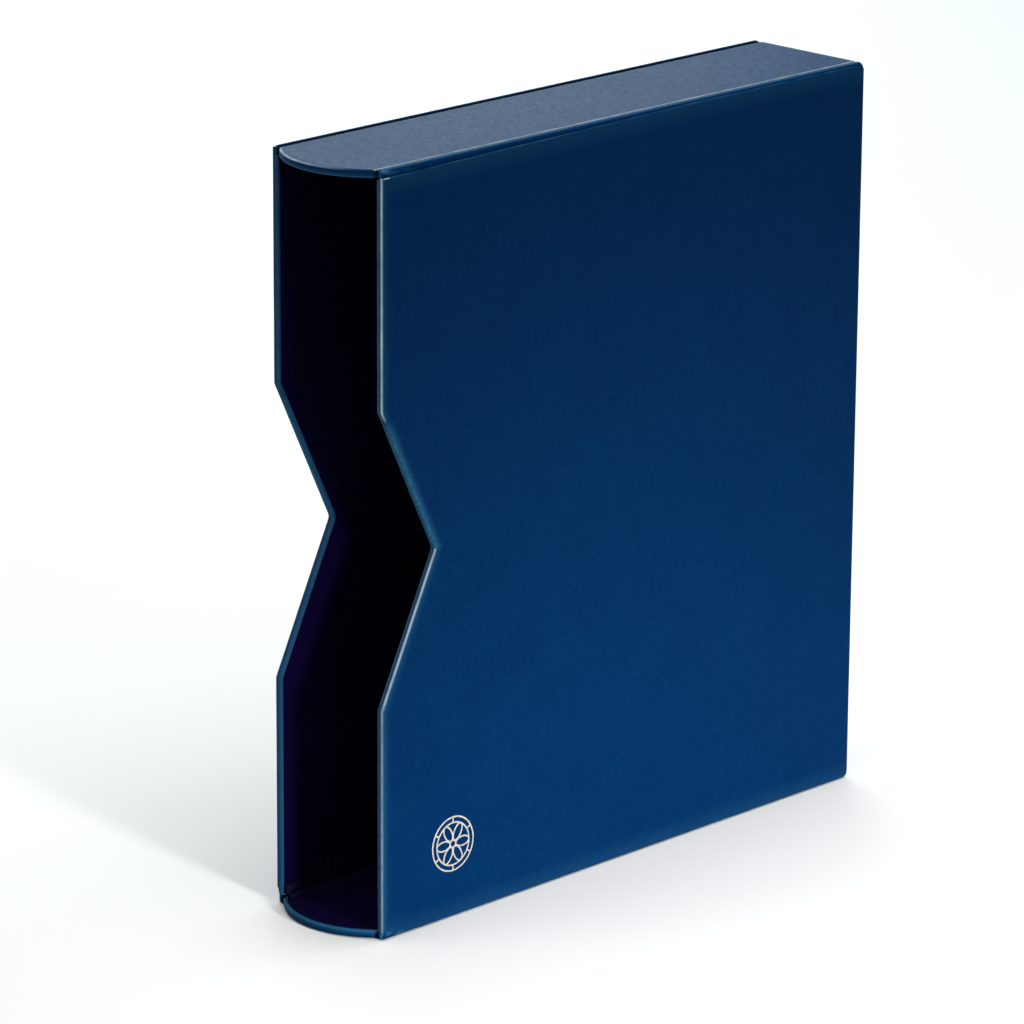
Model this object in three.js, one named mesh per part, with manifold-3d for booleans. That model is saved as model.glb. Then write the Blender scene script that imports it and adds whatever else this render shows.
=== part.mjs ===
// Slipcase for a stamp album: a stiff, open-fronted case of grey board covered in leatherette, with a
// V-shaped finger notch in each side wall, so that the album's spine can be gripped and drawn out.
//
// Millimetres, +Z up. X runs through the thickness, the open mouth faces -Y, and the case stands on its
// bottom rims with the origin under the middle of its outline.
import * as THREE from 'three';
import { mergeVertices } from 'three/addons/utils/BufferGeometryUtils.js';
import Module from 'manifold-3d';

// Driving dimensions
const HEIGHT = 320; // over the side walls
const WALL_DEPTH = 284; // mouth edge to back rim of a side wall
const MOUTH_BULGE = 11; // how far the curved lip of the top and bottom stands out of the mouth
const WIDTH = 63; // over both side walls
const BOARD = 2.4; // grey board
const SKIN = 0.5; // leatherette
const LINING = 0.4; // lining paper
const TAPE = 0.3; // corner tape
const GLUE = 0.05; // glue line between two layers
const GAP = 0.3; // clearance where one sheet butts against another
const MOUTH_PLAY = 0.5; // side board to the fold of leatherette round the mouth edge
const RIM_STAND = 0.3; // how far the side walls' rims stand proud of the top, back and bottom
const GROOVE_WIDTH = 0.8; // groove pressed into the leatherette between each rim and its panel
const GROOVE_DEPTH = 1.3; // below the rim
const TURN_OVER = 4; // leatherette of the edge strip turned over onto the side boards
const TURN_IN = 1.5; // leatherette showing inside, around the mouth, before the lining starts
const TAPE_FLANGE = 11; // width of a corner tape on each of its two walls
const TAPE_FROM_MOUTH = 12;
const BACK_CORNER_RADIUS = 3; // rounded back corners of the side walls
const FRONT_CORNER_RADIUS = 1.2;
const LIP_END_RADIUS = 2.2; // rounded ends of a bowed lip, beside the side walls

// Finger notch
const NOTCH_DEPTH = 30;
const NOTCH_HALF_HEIGHT = 62;
const NOTCH_SHOULDER_RADIUS = 2.5;
const NOTCH_APEX_RADIUS = 3;

// Foil emblem: two rings round a six-petalled rosette, low on the right side near the mouth
const EMBLEM_RADIUS = 12;
const EMBLEM_FROM_MOUTH = 40;
const EMBLEM_HEIGHT = 32;
const FOIL_LINE = 0.9;
const FOIL_THICKNESS = 0.15;
const FOIL_SINK = 0.2; // depth of the stamped groove's floor
const FOIL_PLAY = 0.1; // groove wall to foil
const RING_STEP = 2.4; // outer ring to inner ring
const PETALS = 6;
const PETAL_HALF_WIDTH = 2;
const EYE_RADIUS = 1.6;

// Derived places
const TOTAL_DEPTH = WALL_DEPTH + MOUTH_BULGE;
const BACK_Y = TOTAL_DEPTH / 2;
const MOUTH_Y = BACK_Y - WALL_DEPTH;
const SHELL = SKIN + GLUE; // one layer of leatherette and its glue
const BOARD_OUT = WIDTH / 2 - SHELL; // outer face of a side board
const BOARD_IN = BOARD_OUT - BOARD; // inner face of a side board
const GROOVE_OUT = BOARD_IN - SKIN; // the groove's face beside the rim
const GROOVE_X = GROOVE_OUT - GROOVE_WIDTH; // the groove's face beside the panel
const PANEL_X = GROOVE_X - SHELL; // half width of the top, back and bottom boards
const PANEL_SET = RIM_STAND + SHELL; // rim to the board of the top, back or bottom
const PANEL_IN = PANEL_SET + BOARD; // rim to the inner face of that board
const INNER_SET = PANEL_IN + GLUE + LINING; // rim to the lined inner face
const INNER_X = BOARD_IN - GLUE - LINING; // lined inner face of a side wall
const BACK_IN = BACK_Y - INNER_SET;
const LINING_START = MOUTH_Y + TURN_IN + GAP;
const FAR = 40; // overshoot of a cutting body
const LEAST_RADIUS = 0.2; // of a rounded corner that is moved inwards
const WELD = 1e-5; // corners closer than this are one corner

// Half the steps that an arc is drawn in
const CORNER_SEGMENTS = 3;
const LIP_SEGMENTS = 10;
const RING_SEGMENTS = 18;
const PETAL_SEGMENTS = 7;

const FINISHES = {
  leatherette: { color: 0x013a6b, roughness: 0.62, metalness: 0 },
  board: { color: 0x8c877c, roughness: 0.9, metalness: 0 },
  lining: { color: 0x05060f, roughness: 0.9, metalness: 0 },
  tape: { color: 0x0a0c1c, roughness: 0.85, metalness: 0 },
  foil: { color: 0xb5ad98, roughness: 0.35, metalness: 1 },
};

const wasm = await Module();
wasm.setup();

// A closed geometry as a solid that can be joined and cut.
function solid(geometry) {
  geometry.deleteAttribute('normal');
  geometry.deleteAttribute('uv');
  const merged = mergeVertices(geometry, WELD);
  return new wasm.Manifold(
    new wasm.Mesh({
      numProp: 3,
      vertProperties: new Float32Array(merged.attributes.position.array),
      triVerts: new Uint32Array(merged.index.array),
    }),
  );
}

// A solid as a named mesh with its own material.
function piece(name, body, finish) {
  const { vertProperties, triVerts } = body.getMesh();
  const geometry = new THREE.BufferGeometry();
  geometry.setAttribute('position', new THREE.BufferAttribute(new Float32Array(vertProperties), 3));
  geometry.setIndex(new THREE.BufferAttribute(new Uint32Array(triVerts), 1));
  geometry.computeVertexNormals();
  const mesh = new THREE.Mesh(geometry, new THREE.MeshStandardMaterial(FINISHES[finish]));
  mesh.name = name;
  return mesh;
}

// A box between two corners.
function block([x0, y0, z0], [x1, y1, z1]) {
  const geometry = new THREE.BoxGeometry(x1 - x0, y1 - y0, z1 - z0);
  geometry.translate((x0 + x1) / 2, (y0 + y1) / 2, (z0 + z1) / 2);
  return solid(geometry);
}

// A flat outline drawn in (y, z), given thickness from x0 to x1. Each of its arcs is drawn in twice
// `curveSegments` steps.
function slabX(shape, x0, x1, curveSegments = CORNER_SEGMENTS) {
  const geometry = new THREE.ExtrudeGeometry(shape, { depth: x1 - x0, bevelEnabled: false, curveSegments });
  const turn = new THREE.Matrix4();
  turn.makeBasis(new THREE.Vector3(0, 1, 0), new THREE.Vector3(0, 0, 1), new THREE.Vector3(1, 0, 0));
  geometry.applyMatrix4(turn);
  geometry.translate(x0, 0, 0);
  return solid(geometry);
}

// A flat outline drawn in (x, y), given thickness from z0 to z1.
function slabZ(shape, z0, z1) {
  const settings = { depth: z1 - z0, bevelEnabled: false, curveSegments: LIP_SEGMENTS };
  const geometry = new THREE.ExtrudeGeometry(shape, settings);
  geometry.translate(0, 0, z0);
  return solid(geometry);
}

// An outline through corners { at: Vector2, radius }, each rounded to its radius.
function roundedOutline(corners) {
  const shape = new THREE.Shape();
  corners.forEach(({ at, radius }, i) => {
    const before = corners[(i + corners.length - 1) % corners.length].at;
    const after = corners[(i + 1) % corners.length].at;
    const back = before.clone().sub(at).normalize();
    const ahead = after.clone().sub(at).normalize();
    const half = Math.acos(back.dot(ahead)) / 2;
    const reach = radius / Math.tan(half);
    const centre = at.clone().add(back.clone().add(ahead).setLength(radius / Math.sin(half)));
    const start = at.clone().addScaledVector(back, reach).sub(centre);
    const end = at.clone().addScaledVector(ahead, reach).sub(centre);
    const clockwise = back.cross(ahead) > 0;
    shape.absarc(centre.x, centre.y, radius, start.angle(), end.angle(), clockwise);
  });
  return shape;
}

// The corners moved inwards, each side by the inset of its own edge.
function insetCorners(corners, insets) {
  const sides = corners.map(({ at }, i) => {
    const next = corners[(i + 1) % corners.length].at;
    const along = next.clone().sub(at).normalize();
    const inward = new THREE.Vector2(-along.y, along.x);
    return { from: at.clone().addScaledVector(inward, insets[i]), along, inset: insets[i] };
  });
  return corners.map(({ radius }, i) => {
    const before = sides[(i + sides.length - 1) % sides.length];
    const after = sides[i];
    const turn = before.along.cross(after.along);
    const step = after.from.clone().sub(before.from).cross(after.along) / turn;
    const shrink = Math.max(Math.min(before.inset, after.inset), 0) * Math.sign(turn);
    const moved = before.from.clone().addScaledVector(before.along, step);
    return { at: moved, radius: Math.max(radius - shrink, LEAST_RADIUS) };
  });
}

// The side wall's outline, moved in by `mouth` along the mouth and notch and by `rim` elsewhere.
function wallOutline(mouth = 0, rim = 0) {
  const middle = HEIGHT / 2;
  const corners = [
    { at: new THREE.Vector2(MOUTH_Y, 0), radius: FRONT_CORNER_RADIUS },
    { at: new THREE.Vector2(BACK_Y, 0), radius: BACK_CORNER_RADIUS },
    { at: new THREE.Vector2(BACK_Y, HEIGHT), radius: BACK_CORNER_RADIUS },
    { at: new THREE.Vector2(MOUTH_Y, HEIGHT), radius: FRONT_CORNER_RADIUS },
    { at: new THREE.Vector2(MOUTH_Y, middle + NOTCH_HALF_HEIGHT), radius: NOTCH_SHOULDER_RADIUS },
    { at: new THREE.Vector2(MOUTH_Y + NOTCH_DEPTH, middle), radius: NOTCH_APEX_RADIUS },
    { at: new THREE.Vector2(MOUTH_Y, middle - NOTCH_HALF_HEIGHT), radius: NOTCH_SHOULDER_RADIUS },
  ];
  return roundedOutline(insetCorners(corners, [rim, rim, rim, mouth, mouth, mouth, mouth]));
}

// A plain outline in (y, z) that runs out past the mouth and lies `rim` inside the other three rims.
function throatOutline(rim, radius = BACK_CORNER_RADIUS) {
  const corner = Math.max(radius - rim, LEAST_RADIUS);
  return roundedOutline([
    { at: new THREE.Vector2(MOUTH_Y - FAR, rim), radius: LEAST_RADIUS },
    { at: new THREE.Vector2(BACK_Y - rim, rim), radius: corner },
    { at: new THREE.Vector2(BACK_Y - rim, HEIGHT - rim), radius: corner },
    { at: new THREE.Vector2(MOUTH_Y - FAR, HEIGHT - rim), radius: LEAST_RADIUS },
  ]);
}

// The top or bottom panel's outline in (x, y): straight back and sides, and a bowed lip at the mouth.
function lipOutline(inset, backY) {
  const chord = GROOVE_X;
  const radius = (chord ** 2 + MOUTH_BULGE ** 2) / (2 * MOUTH_BULGE);
  const centreY = MOUTH_Y - MOUTH_BULGE + radius;
  const endX = chord - LIP_END_RADIUS;
  const endY = centreY - Math.sqrt((radius - LIP_END_RADIUS) ** 2 - endX ** 2);
  const half = Math.asin(endX / (radius - LIP_END_RADIUS));
  const ahead = -Math.PI / 2;
  const shape = new THREE.Shape();
  shape.moveTo(chord - inset, backY);
  shape.lineTo(-(chord - inset), backY);
  shape.absarc(-endX, endY, LIP_END_RADIUS - inset, -Math.PI, ahead - half, false);
  shape.absarc(0, centreY, radius - inset, ahead - half, ahead + half, false);
  shape.absarc(endX, endY, LIP_END_RADIUS - inset, ahead + half, 0, false);
  return shape;
}

// Mirror pieces for the two side walls: 1 is the right wall, -1 the left.
function onSide(side, x0, x1) {
  return side > 0 ? [x0, x1] : [-x1, -x0];
}

// Mirror pieces for the top and the bottom: 1 is the top, -1 the bottom, and z counts in from its rims.
function onLevel(level, z0, z1) {
  return level > 0 ? [HEIGHT - z1, HEIGHT - z0] : [z0, z1];
}

// A side board, with a shallow pressed step round its outer rims where the edge strip is turned over.
function sideBoard(side) {
  const whole = slabX(wallOutline(SHELL + MOUTH_PLAY, SHELL), ...onSide(side, BOARD_IN, BOARD_OUT));
  const stepFloor = BOARD_OUT - SHELL;
  const rims = slabX(wallOutline(-FAR, -FAR), ...onSide(side, stepFloor, BOARD_OUT + FAR));
  const kept = slabX(throatOutline(TURN_OVER + GLUE), ...onSide(side, stepFloor - 1, BOARD_OUT + FAR + 1));
  return whole.subtract(rims.subtract(kept));
}

// The leatherette of a side wall: the outer sheet, carried round the mouth edge and turned in.
function sideCover(side) {
  const body = slabX(wallOutline(), ...onSide(side, INNER_X, WIDTH / 2));
  const core = slabX(wallOutline(SKIN, -FAR), ...onSide(side, INNER_X + LINING, WIDTH / 2 - SKIN));
  const inside = slabX(wallOutline(TURN_IN, -FAR), ...onSide(side, INNER_X - 1, WIDTH / 2 - SKIN));
  const [x0, x1] = onSide(side, INNER_X - 1, BOARD_IN);
  const low = block([x0, MOUTH_Y - FAR, -1], [x1, BACK_Y, INNER_SET + GAP]);
  const high = block([x0, MOUTH_Y - FAR, HEIGHT - INNER_SET - GAP], [x1, BACK_Y, HEIGHT + 1]);
  return body.subtract(core).subtract(inside).subtract(low).subtract(high);
}

// The space inside `rim` of the rims, cut through in x.
function throat(rim, x0, x1, radius) {
  return slabX(throatOutline(rim, radius), x0, x1);
}

// The band between the rims and `rim` inside them, over |x| < reach.
function outerBand(rim, reach) {
  return slabX(wallOutline(-FAR, -FAR), -reach, reach).subtract(throat(rim, -reach - 1, reach + 1));
}

// The leatherette edge strip before it is parted: turned over both rims, pressed into the grooves and
// laid over the panels.
function edgeStrip() {
  const front = block([-WIDTH, MOUTH_Y - 2 * FAR, -1], [WIDTH, MOUTH_Y + SHELL, HEIGHT + 1]);
  const underRims = throat(SKIN, SKIN - BOARD_OUT, BOARD_OUT - SKIN);
  const rimsOnly = underRims.subtract(throat(0, -BOARD_IN, BOARD_IN));
  const flanges = throat(TURN_OVER, -BOARD_OUT - 1, BOARD_OUT + 1).subtract(throat(0, -BOARD_IN, BOARD_IN));
  const underGrooves = throat(GROOVE_DEPTH + SKIN, -BOARD_IN, BOARD_IN, 0);
  const underPanels = throat(RIM_STAND + SKIN, SKIN - GROOVE_X, GROOVE_X - SKIN, 0);
  return throat(0, -BOARD_OUT, BOARD_OUT)
    .subtract(front)
    .subtract(outerBand(GROOVE_DEPTH, GROOVE_OUT).subtract(throat(0, -GROOVE_X, GROOVE_X)))
    .subtract(outerBand(RIM_STAND, GROOVE_X))
    .subtract(rimsOnly)
    .subtract(flanges)
    .subtract(underGrooves)
    .subtract(underPanels);
}

// The leatherette round one bowed lip: over it, round its edge and turned in as far as the lining.
function lipWrap(level) {
  const turnedInY = MOUTH_Y + TURN_IN;
  const under = lipOutline(TURN_IN, turnedInY + 1);
  const body = slabZ(lipOutline(0, turnedInY), ...onLevel(level, RIM_STAND, INNER_SET));
  const core = lipOutline(SKIN, turnedInY + 1);
  return body
    .subtract(slabZ(core, ...onLevel(level, RIM_STAND + SKIN, INNER_SET - LINING)))
    .subtract(slabZ(under, ...onLevel(level, RIM_STAND + SKIN, INNER_SET + 1)));
}

// The edge strip parted into its bottom, back and top, with a lip on the top and the bottom.
function edgeCovers() {
  const strip = edgeStrip();
  const band = (z0, z1) => block([-WIDTH, MOUTH_Y - FAR, z0], [WIDTH, BACK_Y + 1, z1]);
  const span = (z0, z1) => strip.intersect(band(z0, z1));
  return [
    piece('bottom_cover', span(-1, TURN_OVER).add(lipWrap(-1)), 'leatherette'),
    piece('back_cover', span(TURN_OVER + GAP, HEIGHT - TURN_OVER - GAP), 'leatherette'),
    piece('top_cover', span(HEIGHT - TURN_OVER, HEIGHT + 1).add(lipWrap(1)), 'leatherette'),
  ];
}

// The boards of the top, the bottom and the back.
function panelBoards() {
  const shape = lipOutline(SHELL, BACK_Y - PANEL_SET);
  const foot = [-PANEL_X, BACK_Y - PANEL_IN, PANEL_IN + GLUE];
  const head = [PANEL_X, BACK_Y - PANEL_SET, HEIGHT - PANEL_IN - GLUE];
  return [
    piece('bottom_board', slabZ(shape, ...onLevel(-1, PANEL_SET, PANEL_IN)), 'board'),
    piece('top_board', slabZ(shape, ...onLevel(1, PANEL_SET, PANEL_IN)), 'board'),
    piece('back_board', block(foot, head), 'board'),
  ];
}

// Lining paper on the floor or the ceiling, carried out onto the bowed lip.
function levelLining(level) {
  const x = INNER_X - GLUE;
  const [z0, z1] = onLevel(level, INNER_SET - LINING, INNER_SET);
  const bow = lipOutline(TURN_IN + GAP, LINING_START + 1);
  return block([-x, LINING_START, z0], [x, BACK_IN + LINING, z1]).add(slabZ(bow, z0, z1));
}

// Lining paper on the inside of the two sides, the bottom, the top and the back.
function linings() {
  const edge = INNER_SET + GAP;
  const sides = [1, -1].map((side) => {
    const [x0, x1] = onSide(side, INNER_X, INNER_X + LINING);
    const sheet = slabX(wallOutline(TURN_IN + GAP, edge), x0, x1);
    return piece(side > 0 ? 'right_lining' : 'left_lining', sheet, 'lining');
  });
  const x = INNER_X - GLUE;
  return [
    ...sides,
    piece('bottom_lining', levelLining(-1), 'lining'),
    piece('top_lining', levelLining(1), 'lining'),
    piece('back_lining', block([-x, BACK_IN, edge], [x, BACK_IN + LINING, HEIGHT - edge]), 'lining'),
  ];
}

// An angle tape: a leg along each of two walls that meet in a corner.
function angleTape(name, legA, legB) {
  return piece(name, block(...legA).add(block(...legB)), 'tape');
}

// Corner tapes inside the case: two along the floor, two along the ceiling and four round the back.
function cornerTapes() {
  const tapes = [];
  const wall = INNER_X - GLUE; // face that a tape lies on
  const floor = INNER_SET + GLUE;
  const back = BACK_IN - GLUE;
  const front = MOUTH_Y + TAPE_FROM_MOUTH;
  for (const [sideName, side] of [['right', 1], ['left', -1]]) {
    const legX = onSide(side, wall - TAPE, wall);
    const flatX = onSide(side, wall - TAPE_FLANGE, wall);
    for (const [levelName, z0, z1, flange0, flange1] of [
      ['bottom', floor, floor + TAPE, floor, floor + TAPE_FLANGE],
      ['top', HEIGHT - floor - TAPE, HEIGHT - floor, HEIGHT - floor - TAPE_FLANGE, HEIGHT - floor],
    ]) {
      tapes.push(
        angleTape(
          `${sideName}_${levelName}_tape`,
          [[legX[0], front, flange0], [legX[1], back, flange1]],
          [[flatX[0], front, z0], [flatX[1], back, z1]],
        ),
      );
    }
    const z0 = floor + TAPE_FLANGE + GAP;
    tapes.push(
      angleTape(
        `${sideName}_back_tape`,
        [[legX[0], back - TAPE_FLANGE, z0], [legX[1], back, HEIGHT - z0]],
        [[flatX[0], back - TAPE, z0], [flatX[1], back, HEIGHT - z0]],
      ),
    );
  }
  const x = wall - TAPE_FLANGE - GAP;
  tapes.push(
    angleTape(
      'bottom_back_tape',
      [[-x, back - TAPE_FLANGE, floor], [x, back, floor + TAPE]],
      [[-x, back - TAPE, floor], [x, back, floor + TAPE_FLANGE]],
    ),
    angleTape(
      'top_back_tape',
      [[-x, back - TAPE_FLANGE, HEIGHT - floor - TAPE], [x, back, HEIGHT - floor]],
      [[-x, back - TAPE, HEIGHT - floor - TAPE_FLANGE], [x, back, HEIGHT - floor]],
    ),
  );
  return tapes;
}

// An oval line in (y, z), its long half-axis turned to `heading`.
function ovalLine(centre, [long, short], width, heading = 0) {
  const shape = new THREE.Shape();
  const hole = new THREE.Path();
  const grow = width / 2;
  shape.absellipse(centre.x, centre.y, long + grow, short + grow, 0, 2 * Math.PI, false, heading);
  hole.absellipse(centre.x, centre.y, long - grow, short - grow, 0, 2 * Math.PI, true, heading);
  shape.holes.push(hole);
  return shape;
}

// A straight line in (y, z) between two points.
function straightLine(from, to, width) {
  const along = to.clone().sub(from).normalize();
  const half = new THREE.Vector2(-along.y, along.x).multiplyScalar(width / 2);
  const corner = (at, side) => at.clone().addScaledVector(half, side);
  return new THREE.Shape([corner(from, -1), corner(to, -1), corner(to, 1), corner(from, 1)]);
}

// The emblem as one solid: two rings joined by short bars, and a rosette of petals round a small eye.
function emblemSolid(width, x0, x1) {
  const centre = new THREE.Vector2(MOUTH_Y + EMBLEM_FROM_MOUTH, EMBLEM_HEIGHT);
  const outer = EMBLEM_RADIUS - FOIL_LINE / 2;
  const inner = outer - RING_STEP;
  const petal = [(inner - EYE_RADIUS) / 2, PETAL_HALF_WIDTH];
  const away = (distance, heading) =>
    centre.clone().add(new THREE.Vector2(Math.cos(heading), Math.sin(heading)).multiplyScalar(distance));
  const line = (shape, segments) => slabX(shape, x0, x1, segments);
  const circle = (radius, segments) => line(ovalLine(centre, [radius, radius], width), segments);
  const rings = circle(outer, RING_SEGMENTS).add(circle(inner, RING_SEGMENTS));
  let body = rings.add(circle(EYE_RADIUS, PETAL_SEGMENTS));
  for (let i = 0; i < PETALS; i += 1) {
    const heading = Math.PI / 2 + (i * 2 * Math.PI) / PETALS;
    const middle = away((inner + EYE_RADIUS) / 2, heading);
    const between = heading + Math.PI / PETALS;
    body = body
      .add(line(ovalLine(middle, petal, width, heading), PETAL_SEGMENTS))
      .add(line(straightLine(away(inner, between), away(outer, between), width), 1));
  }
  return body;
}

// The right cover, with the groove that the foil emblem is stamped into.
function stampedCover() {
  const groove = emblemSolid(FOIL_LINE + 2 * FOIL_PLAY, WIDTH / 2 - FOIL_SINK, WIDTH / 2 + 1);
  return sideCover(1).subtract(groove);
}

function emblemFoil() {
  const floor = WIDTH / 2 - FOIL_SINK + GLUE / 2;
  return emblemSolid(FOIL_LINE, floor, floor + FOIL_THICKNESS);
}

const slipcase = new THREE.Group();
slipcase.add(
  piece('right_side_board', sideBoard(1), 'board'),
  piece('left_side_board', sideBoard(-1), 'board'),
  ...panelBoards(),
  piece('right_side_cover', stampedCover(), 'leatherette'),
  piece('left_side_cover', sideCover(-1), 'leatherette'),
  ...edgeCovers(),
  ...linings(),
  ...cornerTapes(),
  piece('emblem_foil', emblemFoil(), 'foil'),
);

export default slipcase;
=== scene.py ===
"""A stiff, open-fronted slipcase for a stamp album, covered in blue leatherette.

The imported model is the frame. Its plain sheets, tapes and foil are replaced by detailed pieces, each
part gets a procedural finish, and a pale floor, soft lights and a camera are set round it.
"""
from __future__ import annotations

import logging
import math
from dataclasses import dataclass, field
from enum import Enum

import bmesh
import bpy
from mathutils import Matrix, Vector, noise


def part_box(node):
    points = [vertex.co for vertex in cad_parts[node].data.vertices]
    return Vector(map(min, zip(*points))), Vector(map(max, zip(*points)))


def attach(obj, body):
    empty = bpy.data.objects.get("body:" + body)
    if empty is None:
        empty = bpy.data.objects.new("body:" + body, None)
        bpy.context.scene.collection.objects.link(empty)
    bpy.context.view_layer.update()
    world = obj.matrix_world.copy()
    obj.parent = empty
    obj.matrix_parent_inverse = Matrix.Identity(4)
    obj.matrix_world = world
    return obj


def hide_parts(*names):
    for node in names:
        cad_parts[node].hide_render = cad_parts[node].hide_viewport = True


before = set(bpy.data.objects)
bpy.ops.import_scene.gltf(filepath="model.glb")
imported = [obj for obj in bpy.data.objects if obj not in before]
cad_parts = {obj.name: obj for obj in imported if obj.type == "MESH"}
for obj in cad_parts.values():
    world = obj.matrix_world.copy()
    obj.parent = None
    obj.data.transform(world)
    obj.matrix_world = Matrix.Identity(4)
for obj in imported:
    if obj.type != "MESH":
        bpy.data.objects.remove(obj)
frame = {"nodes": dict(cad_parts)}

LOG = logging.getLogger("slipcase")

MM = 0.001
BODY = "root"
WELD = 1e-6
CREASE = math.radians(50)
SKIN = 0.55 * MM
GLUE = 0.05 * MM
CLOSE_STEPS = tuple(d * MM for d in (0.25, 0.55, 0.95, 1.5, 2.3, 3.6))

Flat = tuple[float, float]
Solid = tuple[float, float, float]
Colour = tuple[float, float, float, float]


class Side(Enum):
    """The two side walls, by the sign of x."""

    RIGHT = 1
    LEFT = -1


class Level(Enum):
    """The top and the bottom, by the sign of z from the middle."""

    TOP = 1
    BOTTOM = -1


class Slot(Enum):
    """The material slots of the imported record."""

    LEATHERETTE = "leatherette"
    BOARD = "grey_board"
    LINING = "lining_paper"
    TAPE = "corner_tape"
    FOIL = "foil"


# --------------------------------------------------------------------------------------- helpers


def clamped(value: float) -> float:
    """A value held between 0 and 1."""
    return min(max(value, 0.0), 1.0)


def fade(distance: float, reach: float) -> float:
    """A share that falls from 1 at no distance to 0 at `reach` and beyond."""
    return max(1 - distance / reach, 0.0)


def quarter(steps: int, first: int = 0) -> list[float]:
    """Even angles over a quarter turn, in radians, from step `first` on."""
    return [math.pi / 2 * k / steps for k in range(first, steps + 1)]


def wave(point: Solid, scale: float, seed: float = 0.0) -> float:
    """Smooth noise from about -1 to 1 at a place, with bumps about `scale` across."""
    return noise.noise(Vector(point) / scale + Vector((seed, 0.37 * seed, 1.7 * seed)))


def placed(name: str, data: bpy.types.ID) -> bpy.types.Object:
    """Make an object of some data and put it in the scene."""
    made = bpy.data.objects.new(name, data)
    bpy.context.scene.collection.objects.link(made)
    return made


def feed(tree: bpy.types.NodeTree, value: object, target: bpy.types.NodeSocket) -> None:
    """Link a socket to an input, or set a plain value on the input.

    Args:
        tree: The node tree.
        value: A socket or a plain value.
        target: The input.
    """
    if isinstance(value, bpy.types.NodeSocket):
        tree.links.new(value, target)
    else:
        target.default_value = value


# ---------------------------------------------------------------------------------------- places


@dataclass(frozen=True)
class CaseFrame:
    """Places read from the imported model, in metres.

    Attributes:
        half_width: Outer face of the right side wall.
        mouth: Mouth edge of the side walls, along y.
        back: Back rim of the side walls, along y.
        height: Top rims of the side walls.
        lip_front: Foremost point of the bowed lips, along y.
        inner: Lined inner face of the right side wall.
        floor: Lined floor inside the case.
        back_inner: Lined inner face of the back.
        groove_in: Edge of the groove beside the top, back and bottom panels.
        groove_out: Edge of the groove beside the rims.
        panel_drop: How far the panels lie inside the rims.
    """

    half_width: float
    mouth: float
    back: float
    height: float
    lip_front: float
    inner: float
    floor: float
    back_inner: float
    groove_in: float
    groove_out: float
    panel_drop: float

    @classmethod
    def read(cls) -> CaseFrame:
        """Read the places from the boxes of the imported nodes.

        Returns:
            The places of the case.
        """
        cover_low, cover_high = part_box("right_side_cover")
        panel_low, panel_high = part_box("bottom_board")
        return cls(
            half_width=cover_high.x,
            mouth=cover_low.y,
            back=cover_high.y,
            height=cover_high.z,
            lip_front=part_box("top_cover")[0].y,
            inner=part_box("right_lining")[0].x,
            floor=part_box("bottom_lining")[1].z,
            back_inner=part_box("back_lining")[0].y,
            groove_in=panel_high.x + SKIN,
            groove_out=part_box("right_side_board")[0].x - SKIN + GLUE,
            panel_drop=panel_low.z - SKIN,
        )

    @property
    def middle(self) -> float:
        """Half the height."""
        return self.height / 2


@dataclass(frozen=True)
class RoundedPath:
    """An open path in (y, z) with rounded turns, which can be moved to its left.

    Attributes:
        corners: The path's ends and turns, as (y, z, radius).
        runs: For each straight run, the fractions of its length at which it has points.
        bends: Steps round each turn.
        least: Smallest radius that a moved turn is given.
    """

    corners: tuple[Solid, ...]
    runs: tuple[tuple[float, ...], ...]
    bends: int = 6
    least: float = 0.25 * MM

    def _turn(self, index: int, offset: float) -> tuple[Vector, Vector, Vector, float]:
        """Work out one turn of the moved path.

        Args:
            index: Number of the corner.
            offset: Distance that the path is moved to its left.

        Returns:
            Start, end and centre of the turn, and the sign of its bend.
        """
        before, here, after = (Vector(self.corners[i][:2]) for i in (index - 1, index, index + 1))
        into = (here - before).normalized()
        out = (after - here).normalized()
        sign = math.copysign(1.0, into.cross(out))
        left_in, left_out = Vector((-into.y, into.x)), Vector((-out.y, out.x))
        radius = max(self.corners[index][2] - offset * sign, self.least)
        half = (math.pi - into.angle(out)) / 2
        corner = here + (left_in + left_out).normalized() * (offset / math.sin(half))
        reach = radius / math.tan(half)
        start, end = corner - into * reach, corner + out * reach
        return start, end, start + left_in * (radius * sign), sign

    def points(self, offset: float = 0.0) -> list[Flat]:
        """Sample the moved path; point counts are the same for every offset.

        Args:
            offset: Distance that the path is moved to its left.

        Returns:
            The points as (y, z).
        """
        last = len(self.corners) - 1
        turns = [self._turn(i, offset) for i in range(1, last)]
        first, final = Vector(self.corners[0][:2]), Vector(self.corners[last][:2])
        lead = (Vector(self.corners[1][:2]) - first).normalized()
        tail = (final - Vector(self.corners[last - 1][:2])).normalized()
        starts = [first + Vector((-lead.y, lead.x)) * offset] + [turn[1] for turn in turns]
        ends = [turn[0] for turn in turns] + [final + Vector((-tail.y, tail.x)) * offset]
        result: list[Flat] = []
        for i, fractions in enumerate(self.runs):
            result.extend(tuple(starts[i].lerp(ends[i], t)) for t in fractions)
            if i < len(turns):
                start, end, centre, sign = turns[i]
                arm = start - centre
                sweep = arm.angle(end - centre) * sign
                for k in range(1, self.bends):
                    turned = arm.copy()
                    turned.rotate(Matrix.Rotation(sweep * k / self.bends, 2))
                    result.append(tuple(centre + turned))
        return result


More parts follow.
